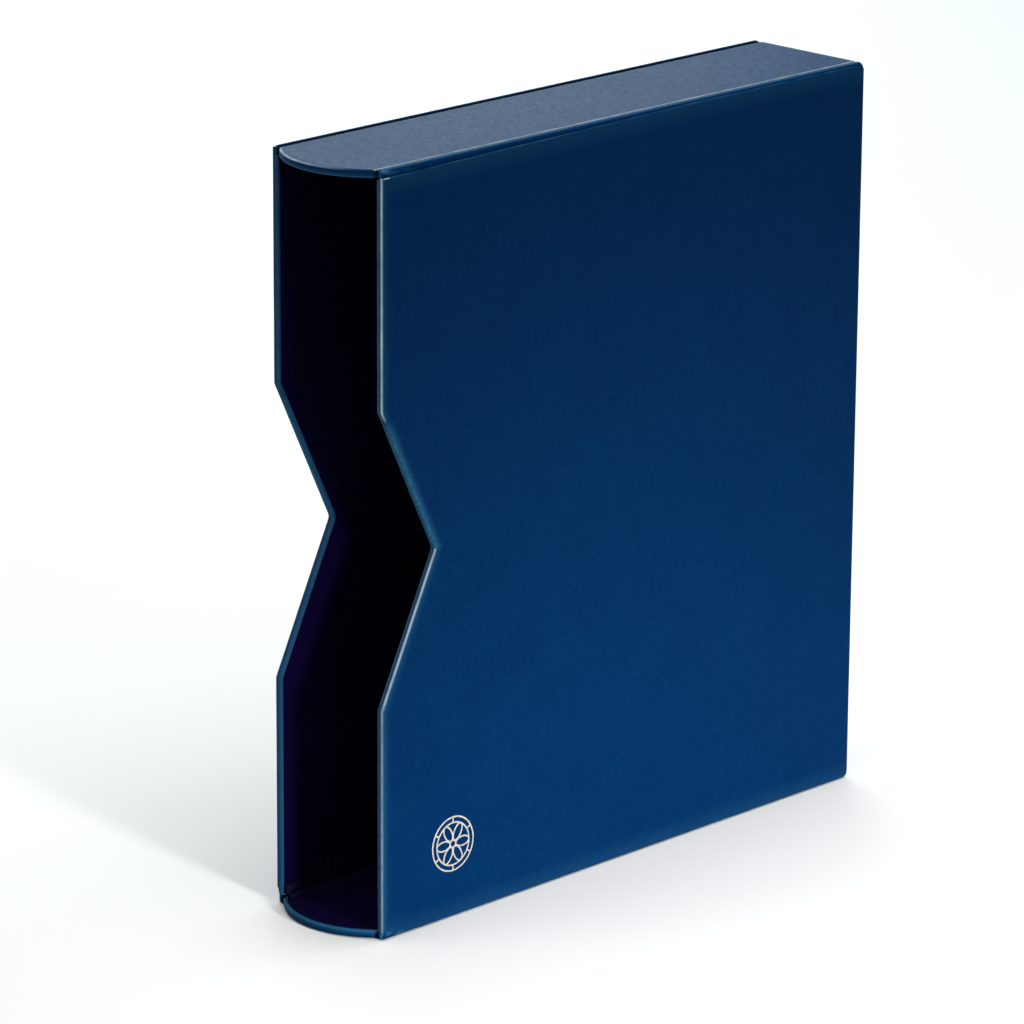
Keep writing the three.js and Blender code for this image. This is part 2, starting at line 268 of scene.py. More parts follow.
def graded(
    length: float, step: float, fine_start: bool = False, fine_end: bool = False
) -> tuple[float, ...]:
    """Fractions along a run, with closer points at an end that has an edge.

    Args:
        length: Length of the run.
        step: Distance between points away from the ends.
        fine_start: Whether the start has closer points.
        fine_end: Whether the end has closer points.

    Returns:
        Rising fractions from 0 to 1.
    """
    low = CLOSE_STEPS if fine_start else ()
    high = tuple(length - d for d in reversed(CLOSE_STEPS)) if fine_end else ()
    start = low[-1] if low else 0.0
    end = high[0] if high else length
    count = max(round((end - start) / step), 1)
    even = [start + (end - start) * k / count for k in range(1, count)]
    return tuple(d / length for d in [0.0, *low, *even, *high, length])


# ---------------------------------------------------------------------------------------- meshes


@dataclass
class Sheet:
    """Collects the points and faces of one sheet, then makes it a solid piece.

    Attributes:
        name: Name of the piece.
        thickness: Thickness given to the sheet, towards its inside.
        outer_band: How deep the outermost faces lie, by which the sheet's outside is told.
        points: Its points.
        wear_and_painted_light: Scuffs and painted highlight at each point above 0, painted shade below 0.
        painted_highlight: Strength of the painted highlight at each point.
        faces: Its faces, as numbers of points.
    """

    name: str
    thickness: float
    outer_band: float = 0.2 * MM
    points: list[Solid] = field(default_factory=list)
    wear_and_painted_light: list[float] = field(default_factory=list)
    painted_highlight: list[float] = field(default_factory=list)
    faces: list[tuple[int, ...]] = field(default_factory=list)

    def row(
        self, points: list[Solid], wear_and_painted_light: float | list[float] = 0.0, painted_highlight: list[float] | None = None
    ) -> list[int]:
        """Add a row of points.

        Args:
            points: The points.
            wear_and_painted_light: Their scuffs and painted highlights, from -1 (painted shade) to 1, as
                one number or one for each.
            painted_highlight: Strength of the painted highlight on each of them, from 0 to 1.

        Returns:
            Their numbers.
        """
        first = len(self.points)
        self.points.extend(points)
        self.wear_and_painted_light.extend(wear_and_painted_light if isinstance(wear_and_painted_light, list) else [wear_and_painted_light] * len(points))
        self.painted_highlight.extend(painted_highlight or [0.0] * len(points))
        return list(range(first, len(self.points)))

    def bridge(self, one: list[int], other: list[int]) -> None:
        """Fill the space between two rows of the same length."""
        for i in range(len(one) - 1):
            self.faces.append((one[i], one[i + 1], other[i + 1], other[i]))

    def build(self, outward: Vector) -> bpy.types.Object:
        """Make the collected sheet a closed solid.

        Args:
            outward: The direction that the sheet's furthest face looks along.

        Returns:
            The piece, with its place in its mesh.
        """
        mesh = bpy.data.meshes.new(self.name)
        mesh.from_pydata(self.points, [], self.faces)
        for name, values in (("wear_and_painted_light", self.wear_and_painted_light), ("painted_highlight", self.painted_highlight)):
            mesh.attributes.new(name, "FLOAT", "POINT").data.foreach_set("value", values)
        work = bmesh.new()
        work.from_mesh(mesh)
        bmesh.ops.remove_doubles(work, verts=work.verts, dist=WELD)
        bmesh.ops.dissolve_degenerate(work, edges=work.edges, dist=WELD)
        bmesh.ops.recalc_face_normals(work, faces=work.faces)
        work.faces.ensure_lookup_table()
        reach = max(face.calc_center_median().dot(outward) for face in work.faces)
        limit = reach - self.outer_band
        outer = [f for f in work.faces if f.calc_center_median().dot(outward) > limit]
        if sum(f.normal.dot(outward) * f.calc_area() for f in outer) < 0:
            bmesh.ops.reverse_faces(work, faces=work.faces)
        work.to_mesh(mesh)
        work.free()
        piece = placed(self.name, mesh)
        solidify = piece.modifiers.new("thickness", "SOLIDIFY")
        solidify.thickness = self.thickness
        solidify.offset = -1
        solidify.use_even_offset = True
        solidify.thickness_clamp = 1.0
        solidify.material_offset_rim = 1
        for _ in ("faces", "cut edges"):
            mesh.materials.append(None)
        return applied(piece)


def applied(piece: bpy.types.Object) -> bpy.types.Object:
    """Make a piece's modifiers part of its mesh.

    Args:
        piece: The piece, with live modifiers.

    Returns:
        The same piece with a plain mesh, smooth where its faces meet gently.
    """
    graph = bpy.context.evaluated_depsgraph_get()
    made = bpy.data.meshes.new_from_object(piece.evaluated_get(graph))
    piece.modifiers.clear()
    old = piece.data
    piece.data = made
    bpy.data.meshes.remove(old)
    made.name = piece.name
    made.shade_smooth()
    made.set_sharp_from_angle(angle=CREASE)
    return piece


def claim(
    piece: bpy.types.Object, nodes: tuple[str, ...], looks: list[bpy.types.Material]
) -> None:
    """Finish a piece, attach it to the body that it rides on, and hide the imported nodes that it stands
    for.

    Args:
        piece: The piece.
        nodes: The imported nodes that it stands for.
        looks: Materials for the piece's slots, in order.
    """
    piece.data.materials.clear()
    for look in looks:
        piece.data.materials.append(look)
    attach(piece, BODY)
    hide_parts(*nodes)
    LOG.info("%s: %d faces, stands for %s", piece.name, len(piece.data.polygons), ", ".join(nodes))


# -------------------------------------------------------------------------------------- finishes


class Graph:
    """Builds the nodes of one material."""

    def __init__(self, name: str) -> None:
        """Start a material with an empty node tree that ends in a Principled shader."""
        self.material = bpy.data.materials.new(name)
        self.material.use_nodes = True
        self.tree = self.material.node_tree
        self.tree.nodes.clear()
        self.shader = self.tree.nodes.new("ShaderNodeBsdfPrincipled")
        output = self.tree.nodes.new("ShaderNodeOutputMaterial")
        self.join(self.shader.outputs["BSDF"], output.inputs["Surface"])
        self.place = self.tree.nodes.new("ShaderNodeTexCoord").outputs["Object"]

    def join(self, source: bpy.types.NodeSocket, target: bpy.types.NodeSocket) -> None:
        """Link two sockets."""
        self.tree.links.new(source, target)

    def cells(self, size: float) -> bpy.types.NodeSocket:
        """Soft pebbles, high in the middle of each.

        Args:
            size: About how far across a pebble is.

        Returns:
            The height, from 0 to 1.
        """
        node = self.tree.nodes.new("ShaderNodeTexVoronoi")
        node.feature = "SMOOTH_F1"
        node.inputs["Scale"].default_value = 1 / size
        node.inputs["Smoothness"].default_value = 0.6
        self.join(self.place, node.inputs["Vector"])
        return self.math("SUBTRACT", 1.0, node.outputs["Distance"])

    def cloud(self, size: float, detail: float = 3.0, stretch: Solid = (1, 1, 1)) -> bpy.types.NodeSocket:
        """Cloudy noise from 0 to 1.

        Args:
            size: Size of its patches.
            detail: Number of finer layers.
            stretch: Scale along each axis.

        Returns:
            The noise value.
        """
        turn = self.tree.nodes.new("ShaderNodeMapping")
        turn.inputs["Scale"].default_value = stretch
        self.join(self.place, turn.inputs["Vector"])
        node = self.tree.nodes.new("ShaderNodeTexNoise")
        node.inputs["Scale"].default_value = 1 / size
        node.inputs["Detail"].default_value = detail
        self.join(turn.outputs["Vector"], node.inputs["Vector"])
        return node.outputs["Fac"]

    def math(self, operation: str, *values: object) -> bpy.types.NodeSocket:
        """One step of arithmetic.

        Args:
            operation: Blender's name for it.
            *values: Sockets or numbers.

        Returns:
            The result.
        """
        node = self.tree.nodes.new("ShaderNodeMath")
        node.operation = operation
        for value, target in zip(values, node.inputs):
            feed(self.tree, value, target)
        return node.outputs[0]

    def mean(self, one: object, other: object, share: float) -> bpy.types.NodeSocket:
        """Add two values by weight, `share` of the first and the rest of the second."""
        rest = round(1 - share, 9)
        return self.math("ADD", self.math("MULTIPLY", one, share), self.math("MULTIPLY", other, rest))

    def spread(
        self, value: bpy.types.NodeSocket, low: float, high: float, to_low: float, to_high: float
    ) -> bpy.types.NodeSocket:
        """Stretch a range of a value over another range, clamped.

        Args:
            value: The value.
            low: Start of its range.
            high: End of its range.
            to_low: What the start becomes.
            to_high: What the end becomes.

        Returns:
            The stretched value.
        """
        node = self.tree.nodes.new("ShaderNodeMapRange")
        ranges = {"From Min": low, "From Max": high, "To Min": to_low, "To Max": to_high}
        for key, number in ranges.items():
            node.inputs[key].default_value = number
        self.join(value, node.inputs["Value"])
        return node.outputs["Result"]

    def attribute(self, name: str) -> bpy.types.NodeSocket:
        """A number stored on the mesh."""
        node = self.tree.nodes.new("ShaderNodeAttribute")
        node.attribute_name = name
        return node.outputs["Fac"]

    def blend(self, factor: object, one: object, other: object) -> bpy.types.NodeSocket:
        """Mix two colours.

        Args:
            factor: How much of the second colour there is.
            one: First colour.
            other: Second colour.

        Returns:
            The mixed colour.
        """
        node = self.tree.nodes.new("ShaderNodeMix")
        node.data_type = "RGBA"
        # The mix node has sockets for every kind of value; these are its colour ones.
        for value, socket in ((factor, 0), (one, 6), (other, 7)):
            feed(self.tree, value, node.inputs[socket])
        return node.outputs[2]

    def relief(self, height: bpy.types.NodeSocket, depth: float, strength: float) -> None:
        """Give the shader a bump.

        Args:
            height: Height from 0 to 1.
            depth: Height of the relief in metres.
            strength: How strongly it shows.
        """
        node = self.tree.nodes.new("ShaderNodeBump")
        node.inputs["Strength"].default_value = strength
        node.inputs["Distance"].default_value = depth
        self.join(height, node.inputs["Height"])
        self.join(node.outputs["Normal"], self.shader.inputs["Normal"])

    def set(self, **values: object) -> None:
        """Set or link inputs of the shader, given by name with _ for a space."""
        for key, value in values.items():
            feed(self.tree, value, self.shader.inputs[key.replace("_", " ")])


@dataclass(frozen=True)
class Finish:
    """The base of every finish.

    Attributes:
        name: Name of the material.
    """

    name: str

    def paint(self, g: Graph) -> None:
        """Set the colour, roughness and relief in the material's graph."""
        raise NotImplementedError

    def material(self) -> bpy.types.Material:
        """Build the material.

        Returns:
            The finished material.
        """
        g = Graph(self.name)
        self.paint(g)
        return g.material


@dataclass(frozen=True)
class Leatherette(Finish):
    """Grained blue leatherette, lighter with scuffs and painted highlights along its folds, and with
    painted shade in its grooves.

    Attributes:
        name: Name of the material.
        deep: Darker blue of the face.
        bright: Lighter blue of the face.
        scuff_and_highlight: Colour of scuffs, and of painted highlights on folds and crests.
        highlight_tint: Colour of the painted highlight along arrises and folds.
        groove_shade: Colour of the painted shade down in the grooves.
        grain: Size of a pebble of the grain.
        crumb: Size of the crumbs that scuffs and painted highlights break into.
        patch: Size of the small patches of colour.
        cloud: Size of the broad patches of colour.
        roughness: Middle roughness.
        depth: Height of the grain.
    """

    name: str = "blue_leatherette"
    deep: Colour = (0.0, 0.0135, 0.058, 1)
    bright: Colour = (0.0, 0.018, 0.068, 1)
    scuff_and_highlight: Colour = (0.04, 0.18, 0.29, 1)
    highlight_tint: Colour = (0.36, 0.44, 0.48, 1)
    groove_shade: Colour = (0.0, 0.003, 0.012, 1)
    grain: float = 0.75 * MM
    crumb: float = 0.9 * MM
    patch: float = 2.2 * MM
    cloud: float = 30 * MM
    roughness: float = 0.46
    depth: float = 0.05 * MM

    def paint(self, g: Graph) -> None:
        """Paint the grain, the uneven blue, the scuffs, and the painted highlights and shade.

        Args:
            g: The material's graph.
        """
        pebbles = g.cells(self.grain)
        fine = g.cloud(0.3 * MM, 2.0)
        patch = g.cloud(self.patch, 4.0)
        tone = g.mean(g.cloud(self.cloud, 3.0), patch, 0.3)
        wear_and_painted_light = g.attribute("wear_and_painted_light")
        colour = g.blend(g.spread(tone, 0.35, 0.65, 0.0, 1.0), self.deep, self.bright)
        crumbs = g.spread(g.cloud(self.crumb, 3.0), 0.36, 0.62, 0.25, 1.0)
        patchy = g.math("MAXIMUM", crumbs, g.math("SUBTRACT", 1.0, wear_and_painted_light))
        # Scuffs and painted highlights: lighter where the stored mark is above 0, broken into crumbs.
        colour = g.blend(g.math("MULTIPLY", wear_and_painted_light, patchy), colour, self.scuff_and_highlight)
        # Painted shade: near black where the stored mark is below 0, in the grooves and under the panels'
        # edges.
        colour = g.blend(g.spread(wear_and_painted_light, -1.0, 0.0, 1.0, 0.0), colour, self.groove_shade)
        even = g.spread(g.cloud(6 * MM, 3.0), 0.3, 0.6, 0.6, 1.0)
        # Painted highlight: a pale tint along the arrises and folds that the lights would catch.
        colour = g.blend(g.math("MULTIPLY", g.attribute("painted_highlight"), even), colour, self.highlight_tint)
        g.set(Base_Color=colour, Specular_IOR_Level=0.02, Specular_Tint=(0.3, 0.7, 1.0, 1))
        uneven = g.mean(pebbles, patch, 0.5)
        g.set(Roughness=g.spread(uneven, 0.3, 0.8, self.roughness + 0.08, self.roughness - 0.06))
        g.relief(g.mean(pebbles, fine, 0.75), self.depth, 0.35)


@dataclass(frozen=True)
class CutEdge(Finish):
    """The cut edge of leatherette: a coloured film on a paler paper core.

    Attributes:
        name: Name of the material.
        film: Colour of the film.
        core: Colour of the core.
    """

    name: str = "leatherette_cut_edge"
    film: Colour = (0.01, 0.07, 0.16, 1)
    core: Colour = (0.14, 0.30, 0.42, 1)

    def paint(self, g: Graph) -> None:
        """Paint the film and the core unevenly.

        Args:
            g: The material's graph.
        """
        fibres = g.cloud(0.7 * MM, 4.0)
        g.set(Base_Color=g.blend(g.spread(fibres, 0.42, 0.58, 0.0, 1.0), self.film, self.core))
        g.set(Roughness=g.spread(fibres, 0.3, 0.7, 0.7, 0.9), Specular_IOR_Level=0.2)
        g.relief(g.cloud(0.15 * MM, 3.0), 0.04 * MM, 0.5)


@dataclass(frozen=True)
class Paper(Finish):
    """Fibrous board, lining paper or cloth tape.

    Attributes:
        name: Name of the material.
        dark: Colour of the darker fibres.
        light: Colour of the lighter fibres.
        fibre: Size of a fibre clump.
        stretch: Scale of the fibres along each axis.
        roughness: Middle roughness.
        depth: Height of the surface relief.
        shine: Strength of its reflection.
    """

    name: str
    dark: Colour
    light: Colour
    fibre: float
    stretch: Solid = (1, 1, 1)
    roughness: float = 0.85
    depth: float = 0.04 * MM
    shine: float = 0.15

    def paint(self, g: Graph) -> None:
        """Paint the fibres.

        Args:
            g: The material's graph.
        """
        fibres = g.cloud(self.fibre, 5.0, self.stretch)
        tone = g.mean(fibres, g.cloud(18 * MM, 2.0), 0.7)
        g.set(Base_Color=g.blend(g.spread(tone, 0.35, 0.65, 0.0, 1.0), self.dark, self.light))
        g.set(Roughness=g.spread(fibres, 0.3, 0.7, self.roughness + 0.06, self.roughness - 0.06))
        g.set(Specular_IOR_Level=self.shine)
        g.relief(fibres, self.depth, 0.4)


@dataclass(frozen=True)
class Foil(Finish):
    """Pale gold blocking foil, thin and slightly broken over the grain.

    Attributes:
        name: Name of the material.
        bright: Colour where it is whole.
        dull: Colour where it is broken.
    """

    name: str = "blocking_foil"
    bright: Colour = (0.62, 0.57, 0.47, 1)
    dull: Colour = (0.36, 0.35, 0.33, 1)

    def paint(self, g: Graph) -> None:
        """Paint the foil, duller where it is broken.

        Args:
            g: The material's graph.
        """
        broken = g.cloud(0.8 * MM, 4.0)
        g.set(Base_Color=g.blend(g.spread(broken, 0.4, 0.6, 0.0, 1.0), self.dull, self.bright))
        g.set(Metallic=0.55, Roughness=g.spread(broken, 0.3, 0.7, 0.55, 0.32))
        g.relief(g.cells(0.75 * MM), 0.03 * MM, 0.4)


@dataclass(frozen=True)
class Backdrop(Finish):
    """Plain pale studio floor."""

    name: str = "studio_floor"
    shade: Colour = (0.62, 0.62, 0.62, 1)

    def paint(self, g: Graph) -> None:
        """Paint it one plain shade."""
        g.set(Base_Color=self.shade, Roughness=0.9, Specular_IOR_Level=0.1)


# ---------------------------------------------------------------------------------------- pieces


@dataclass
class SideWrap:
    """The leatherette of one side wall, carried round the mouth edge and turned in.

    Attributes:
        case: Places of the case.
        side: Which side wall it covers.
        low_start: Height above the bottom rim at which its mouth edge starts.
        high_start: The same below the top rim.
        thickness: Thickness of the sheet.
        margin: Distance from the bottom rim to its cut edge, towards the back.
        top_margin: The same at the top rim.
        slant_share: Part of the depth over which its upper cut edge slants.
        low_slant_share: The same for its lower cut edge.
        rim_round: Rounding beside the rims, across and down.
        back_radius: Radius of its back corners.
        arris: Radius of the fold at the mouth.
        inner_arris: Radius of the inner fold.
        turn_in: How far it is turned in.
        ease: How far the face falls away towards the mouth.
        ease_reach: Where that starts.
        notch_depth: Depth of the finger notch.
        notch_half: Half its height.
        shoulder: Radius where the notch starts.
        apex: Radius at the root of the notch.
        waviness: How far the face may lie below flat.
        calm_reach: Distance from an edge over which the face stays flat.
        corner_dip: How far the upper cut edge falls at the back.
        cut_line: Width of the lighter line beside the cut edges.
        fit_reach: Height over which the turned-in ends are drawn in.
        fit_gap: Space between them and the floor.
    """

    case: CaseFrame
    side: Side
    low_start: float
    high_start: float
    thickness: float = 0.45 * MM
    margin: float = 0.25 * MM
    top_margin: float = 0.9 * MM
    slant_share: float = 0.62
    low_slant_share: float = 0.05
    rim_round: Flat = (2.1 * MM, 1.9 * MM)
    back_radius: float = 3 * MM
    arris: float = 1.2 * MM
    inner_arris: float = 1.0 * MM
    turn_in: float = 1.5 * MM
    ease: float = 0.2 * MM
    ease_reach: float = 4.5 * MM
    notch_depth: float = 30 * MM
    notch_half: float = 62 * MM
    shoulder: float = 2.5 * MM
    apex: float = 3 * MM
    waviness: float = 0.06 * MM
    calm_reach: float = 12 * MM
    corner_dip: float = 2.4 * MM
    cut_line: float = 0.4 * MM
    fit_reach: float = 20 * MM
    fit_gap: float = 0.3 * MM

    def _mouth_path(self) -> RoundedPath:
        """Trace the mouth edge with its finger notch, from the bottom to the top.

        Returns:
            The path.
        """
        c = self.case
        low, high = self.low_start, c.height - self.high_start
        bottom, top = c.middle - self.notch_half, c.middle + self.notch_half
        slope = math.hypot(self.notch_depth, self.notch_half)
        corners = (
            (c.mouth, low, 0.0),
            (c.mouth, bottom, self.shoulder),
            (c.mouth + self.notch_depth, c.middle, self.apex),
            (c.mouth, top, self.shoulder),
            (c.mouth, high, 0.0),
        )
        step = 4.5 * MM
        runs = (
            graded(bottom - low, step, fine_start=True),
            graded(slope, step),
            graded(slope, step),
            graded(high - top, step, fine_end=True),
        )
        return RoundedPath(corners, runs, bends=7)

    def _cut(self, y: float, start: float, end: float, share: float) -> float:
        """Distance from a rim to the sheet's cut edge along it.

        Args:
            y: Place along the rim.
            start: Distance at the mouth.
            end: Distance at the back.
            share: Part of the depth over which the distance changes.

        Returns:
            The distance.
        """
        t = clamped((y - self.case.mouth) / ((self.case.back - self.case.mouth) * share))
        wobble = 0.07 * MM * wave((y, start, 0.0), 11 * MM, 3.0)
        return end + (start - end) * (1 - t) + wobble * (1 - 0.6 * t)

    def _round_back(self, y: float, z: float) -> tuple[float, float, float]:
        """Round the back corners of the face.

        Args:
            y: Place before rounding.
            z: Height before rounding.

        Returns:
            The moved y and z, and the distance to the nearest rim.
        """
        c = self.case
        sign = 1 if z > c.middle else -1
        edge_y = c.back - y
        edge_z = c.height - z if sign > 0 else z
        p, q = self.back_radius - edge_y, self.back_radius - edge_z
        if p <= 0 or q <= 0:
            return y, z, min(edge_y, edge_z)
        scale = max(p, q) / math.hypot(p, q)
        p, q = p * scale, q * scale
        new_z = c.height - self.back_radius + q if sign > 0 else self.back_radius - q
        return c.back - self.back_radius + p, new_z, self.back_radius - math.hypot(p, q)

    def _face_x(self, y: float, z: float, rim: float, mouth: float) -> float:
        """How far out the face stands at a place.

        Args:
            y: Place along the depth.
            z: Height.
            rim: Distance to the nearest rim.
            mouth: Distance to the mouth edge.

        Returns:
            The distance from the middle of the case.
        """
        x = self.case.half_width
        across, down = self.rim_round
        if rim < down:
            x -= across * (1 - math.sqrt(1 - (1 - rim / down) ** 2))
        x -= self.ease * fade(mouth, self.ease_reach) ** 2
        calm = clamped(min(rim / self.calm_reach, mouth / self.calm_reach))
        broad = wave((self.side.value * 9.0 * MM, y, z), 45 * MM)
        bend = broad + 0.5 * wave((0.0, y, z), 17 * MM, 5.0)
        return x - self.waviness * calm * (0.6 + 0.5 * bend)

    def _fit_inside(self, z: float) -> float:
        """Draw the ends of the turned-in part in, clear of the floor and the ceiling.

        Args:
            z: Height on the mouth edge.

        Returns:
            Height on the turned-in part.
        """
        c = self.case
        keep = c.middle - self.notch_half - self.fit_reach
        limit = c.floor + self.fit_gap
        if z < keep:
            return keep + (z - keep) * (keep - limit) / (keep - self.low_start)
        if z > c.height - keep:
            top = c.height - keep
            return top + (z - top) * (keep - limit) / (keep - self.high_start)
        return z

    def build(self) -> bpy.types.Object:
        """Build the wrap.

        Returns:
            The piece.
        """
        c = self.case
        sign = self.side.value
        path = self._mouth_path()
        sheet = Sheet(f"{self.side.name.lower()}_side_wrap", self.thickness)
        base = path.points(-self.arris)
        depth = c.back - self.margin - c.mouth - self.arris
        across = graded(depth, 6 * MM, fine_start=True, fine_end=True)
        low_z, high_z = base[0][1], base[-1][1]
        rows, wear_and_light_steps, highlight_values = ([[] for _ in across] for _ in range(3))
        for y0, z0 in base:
            share = (z0 - low_z) / (high_z - low_z)
            for column, wear_and_light_marks, corner_highlight, w in zip(rows, wear_and_light_steps, highlight_values, across):
                y = y0 + w * (c.back - self.margin - y0)
                low = self._cut(y, self.low_start, self.margin, self.low_slant_share)
                high = c.height - self._cut(y, self.high_start, self.top_margin, self.slant_share)
                high -= self.corner_dip * fade(c.back - y, 7 * MM) ** 2
                ease = min(w / 0.08, 1.0)
                z = z0 + ease * (share * (high - high_z) + (1 - share) * (low - low_z))
                gap = min(high - z, z - low)
                y, z, rim = self._round_back(y, z)
                mouth = self.arris + w * (c.back - y0)
                cut = self._cut_line_lightness(y, z, gap)
                # Keep the larger of the lighter cut-edge line and the painted light near the mouth's fold.
                wear_and_light_marks.append(max(cut, self._painted_fold_light(y0, z0) * fade(mouth, 5 * MM) ** 2))
                # Painted highlight: a small L-shaped catch of light at the top front corner.
                corner = gap < self.cut_line and mouth < 4 * MM and z > c.middle
                corner_highlight.append(1.0 if corner else 0.0)
                column.append((sign * self._face_x(y, z, rim, mouth), y, z))
        numbered = [sheet.row(*columns) for columns in zip(rows, wear_and_light_steps, highlight_values)]
        for one, other in zip(numbered, numbered[1:]):
            sheet.bridge(one, other)
        self._turn_round(sheet, path, numbered[0])
        return sheet.build(Vector((sign, 0, 0)))

    def _cut_line_lightness(self, y: float, z: float, gap: float) -> float:
        """How much lighter the sheet is beside its cut edges.

        Args:
            y: Place along the depth.
            z: Height.
            gap: Distance to the nearest cut edge.

        Returns:
            A share from 0 to 1, less towards the back.
        """
        if gap > self.cut_line:
            return 0.08 * fade(gap, 8 * MM)
        most = 0.95 if gap < 0.1 * MM else 0.5
        broken = min(max(0.55 + 1.1 * wave((gap, y, z), 5 * MM, 9.0), 0.1), 1.0)
        depth = (y - self.case.mouth) / (self.case.back - self.case.mouth)
        return most * broken * (1 - 0.5 * depth)

    def _painted_fold_light(self, y: float, z: float) -> float:
        """How much painted light the fold gets at a place on the mouth, in place of light from below and in
        front.

        Args:
            y: Place along the depth.
            z: Height.

        Returns:
            A share from 0 to 1.
        """
        notch = y > self.case.mouth + self.arris + 2.5 * MM
        if z > self.case.middle:
            return 0.5 if notch else 0.2
        return 0.2 if notch else 0.25

    def _arris_highlight(self, y: float, z: float) -> float:
        """How strongly the painted highlight shows on the mouth's arris at a place.

        Args:
            y: Place along the depth.
            z: Height.

        Returns:
            A share from 0 to 1.
        """
        share = 1.0 if self.side is Side.RIGHT else 0.3
        above = z > self.case.middle
        if y > self.case.mouth + 1 * MM:
            return share * (0.0 if above else 0.7)
        return share * (1.0 if above else 0.35)

    def _turn_round(self, sheet: Sheet, path: RoundedPath, last: list[int]) -> None:
        """Carry the sheet round the mouth edge and turn it in.

        Args:
            sheet: The sheet.
            path: The mouth edge.
            last: The row of points where the outer face ends.
        """
        c = self.case
        sign = self.side.value
        face = c.half_width - self.ease * (1 - self.arris / self.ease_reach) ** 2
        steps: list[tuple[float, float, float]] = []
        # Painted highlight along the mouth's arris, strongest on its middle steps.
        highlight_steps = (0.0, 0.25, 1.0, 1.0, 0.35, 0.0)
        for a, highlight_share in zip(quarter(len(highlight_steps), first=1), highlight_steps):
            x = face - self.arris * (1 - math.cos(a))
            steps.append((self.arris * (1 - math.sin(a)), x, highlight_share))
        inner_start = c.inner + self.inner_arris
        steps.append((0.0, (steps[-1][1] + inner_start) / 2, 0.0))
        # A faint painted highlight on the inner fold as well.
        for a in quarter(5):
            inset = self.inner_arris * (1 - math.cos(a))
            steps.append((inset, inner_start - self.inner_arris * math.sin(a), 0.15))
        steps.append((self.turn_in, c.inner, 0.0))
        for inset, x, highlight_share in steps:
            points, painted_highlight, wear_and_painted_light = [], [], []
            inner = clamped((c.half_width - self.arris - x) / MM)
            for y, z in path.points(-inset):
                z += (self._fit_inside(z) - z) * inner
                lump = 0.04 * MM * wave((x, y, z), 9 * MM, 2.0)
                points.append((sign * (x + (lump if x > inner_start else 0.0)), y, z))
                painted_highlight.append(highlight_share * self._arris_highlight(y, z))
                # Painted light on the fold, weaker where it is turned in.
                wear_and_painted_light.append(self._painted_fold_light(y, z) * (1 - 0.4 * inner))
            row = sheet.row(points, wear_and_painted_light, painted_highlight)
            sheet.bridge(last, row)
            last = row


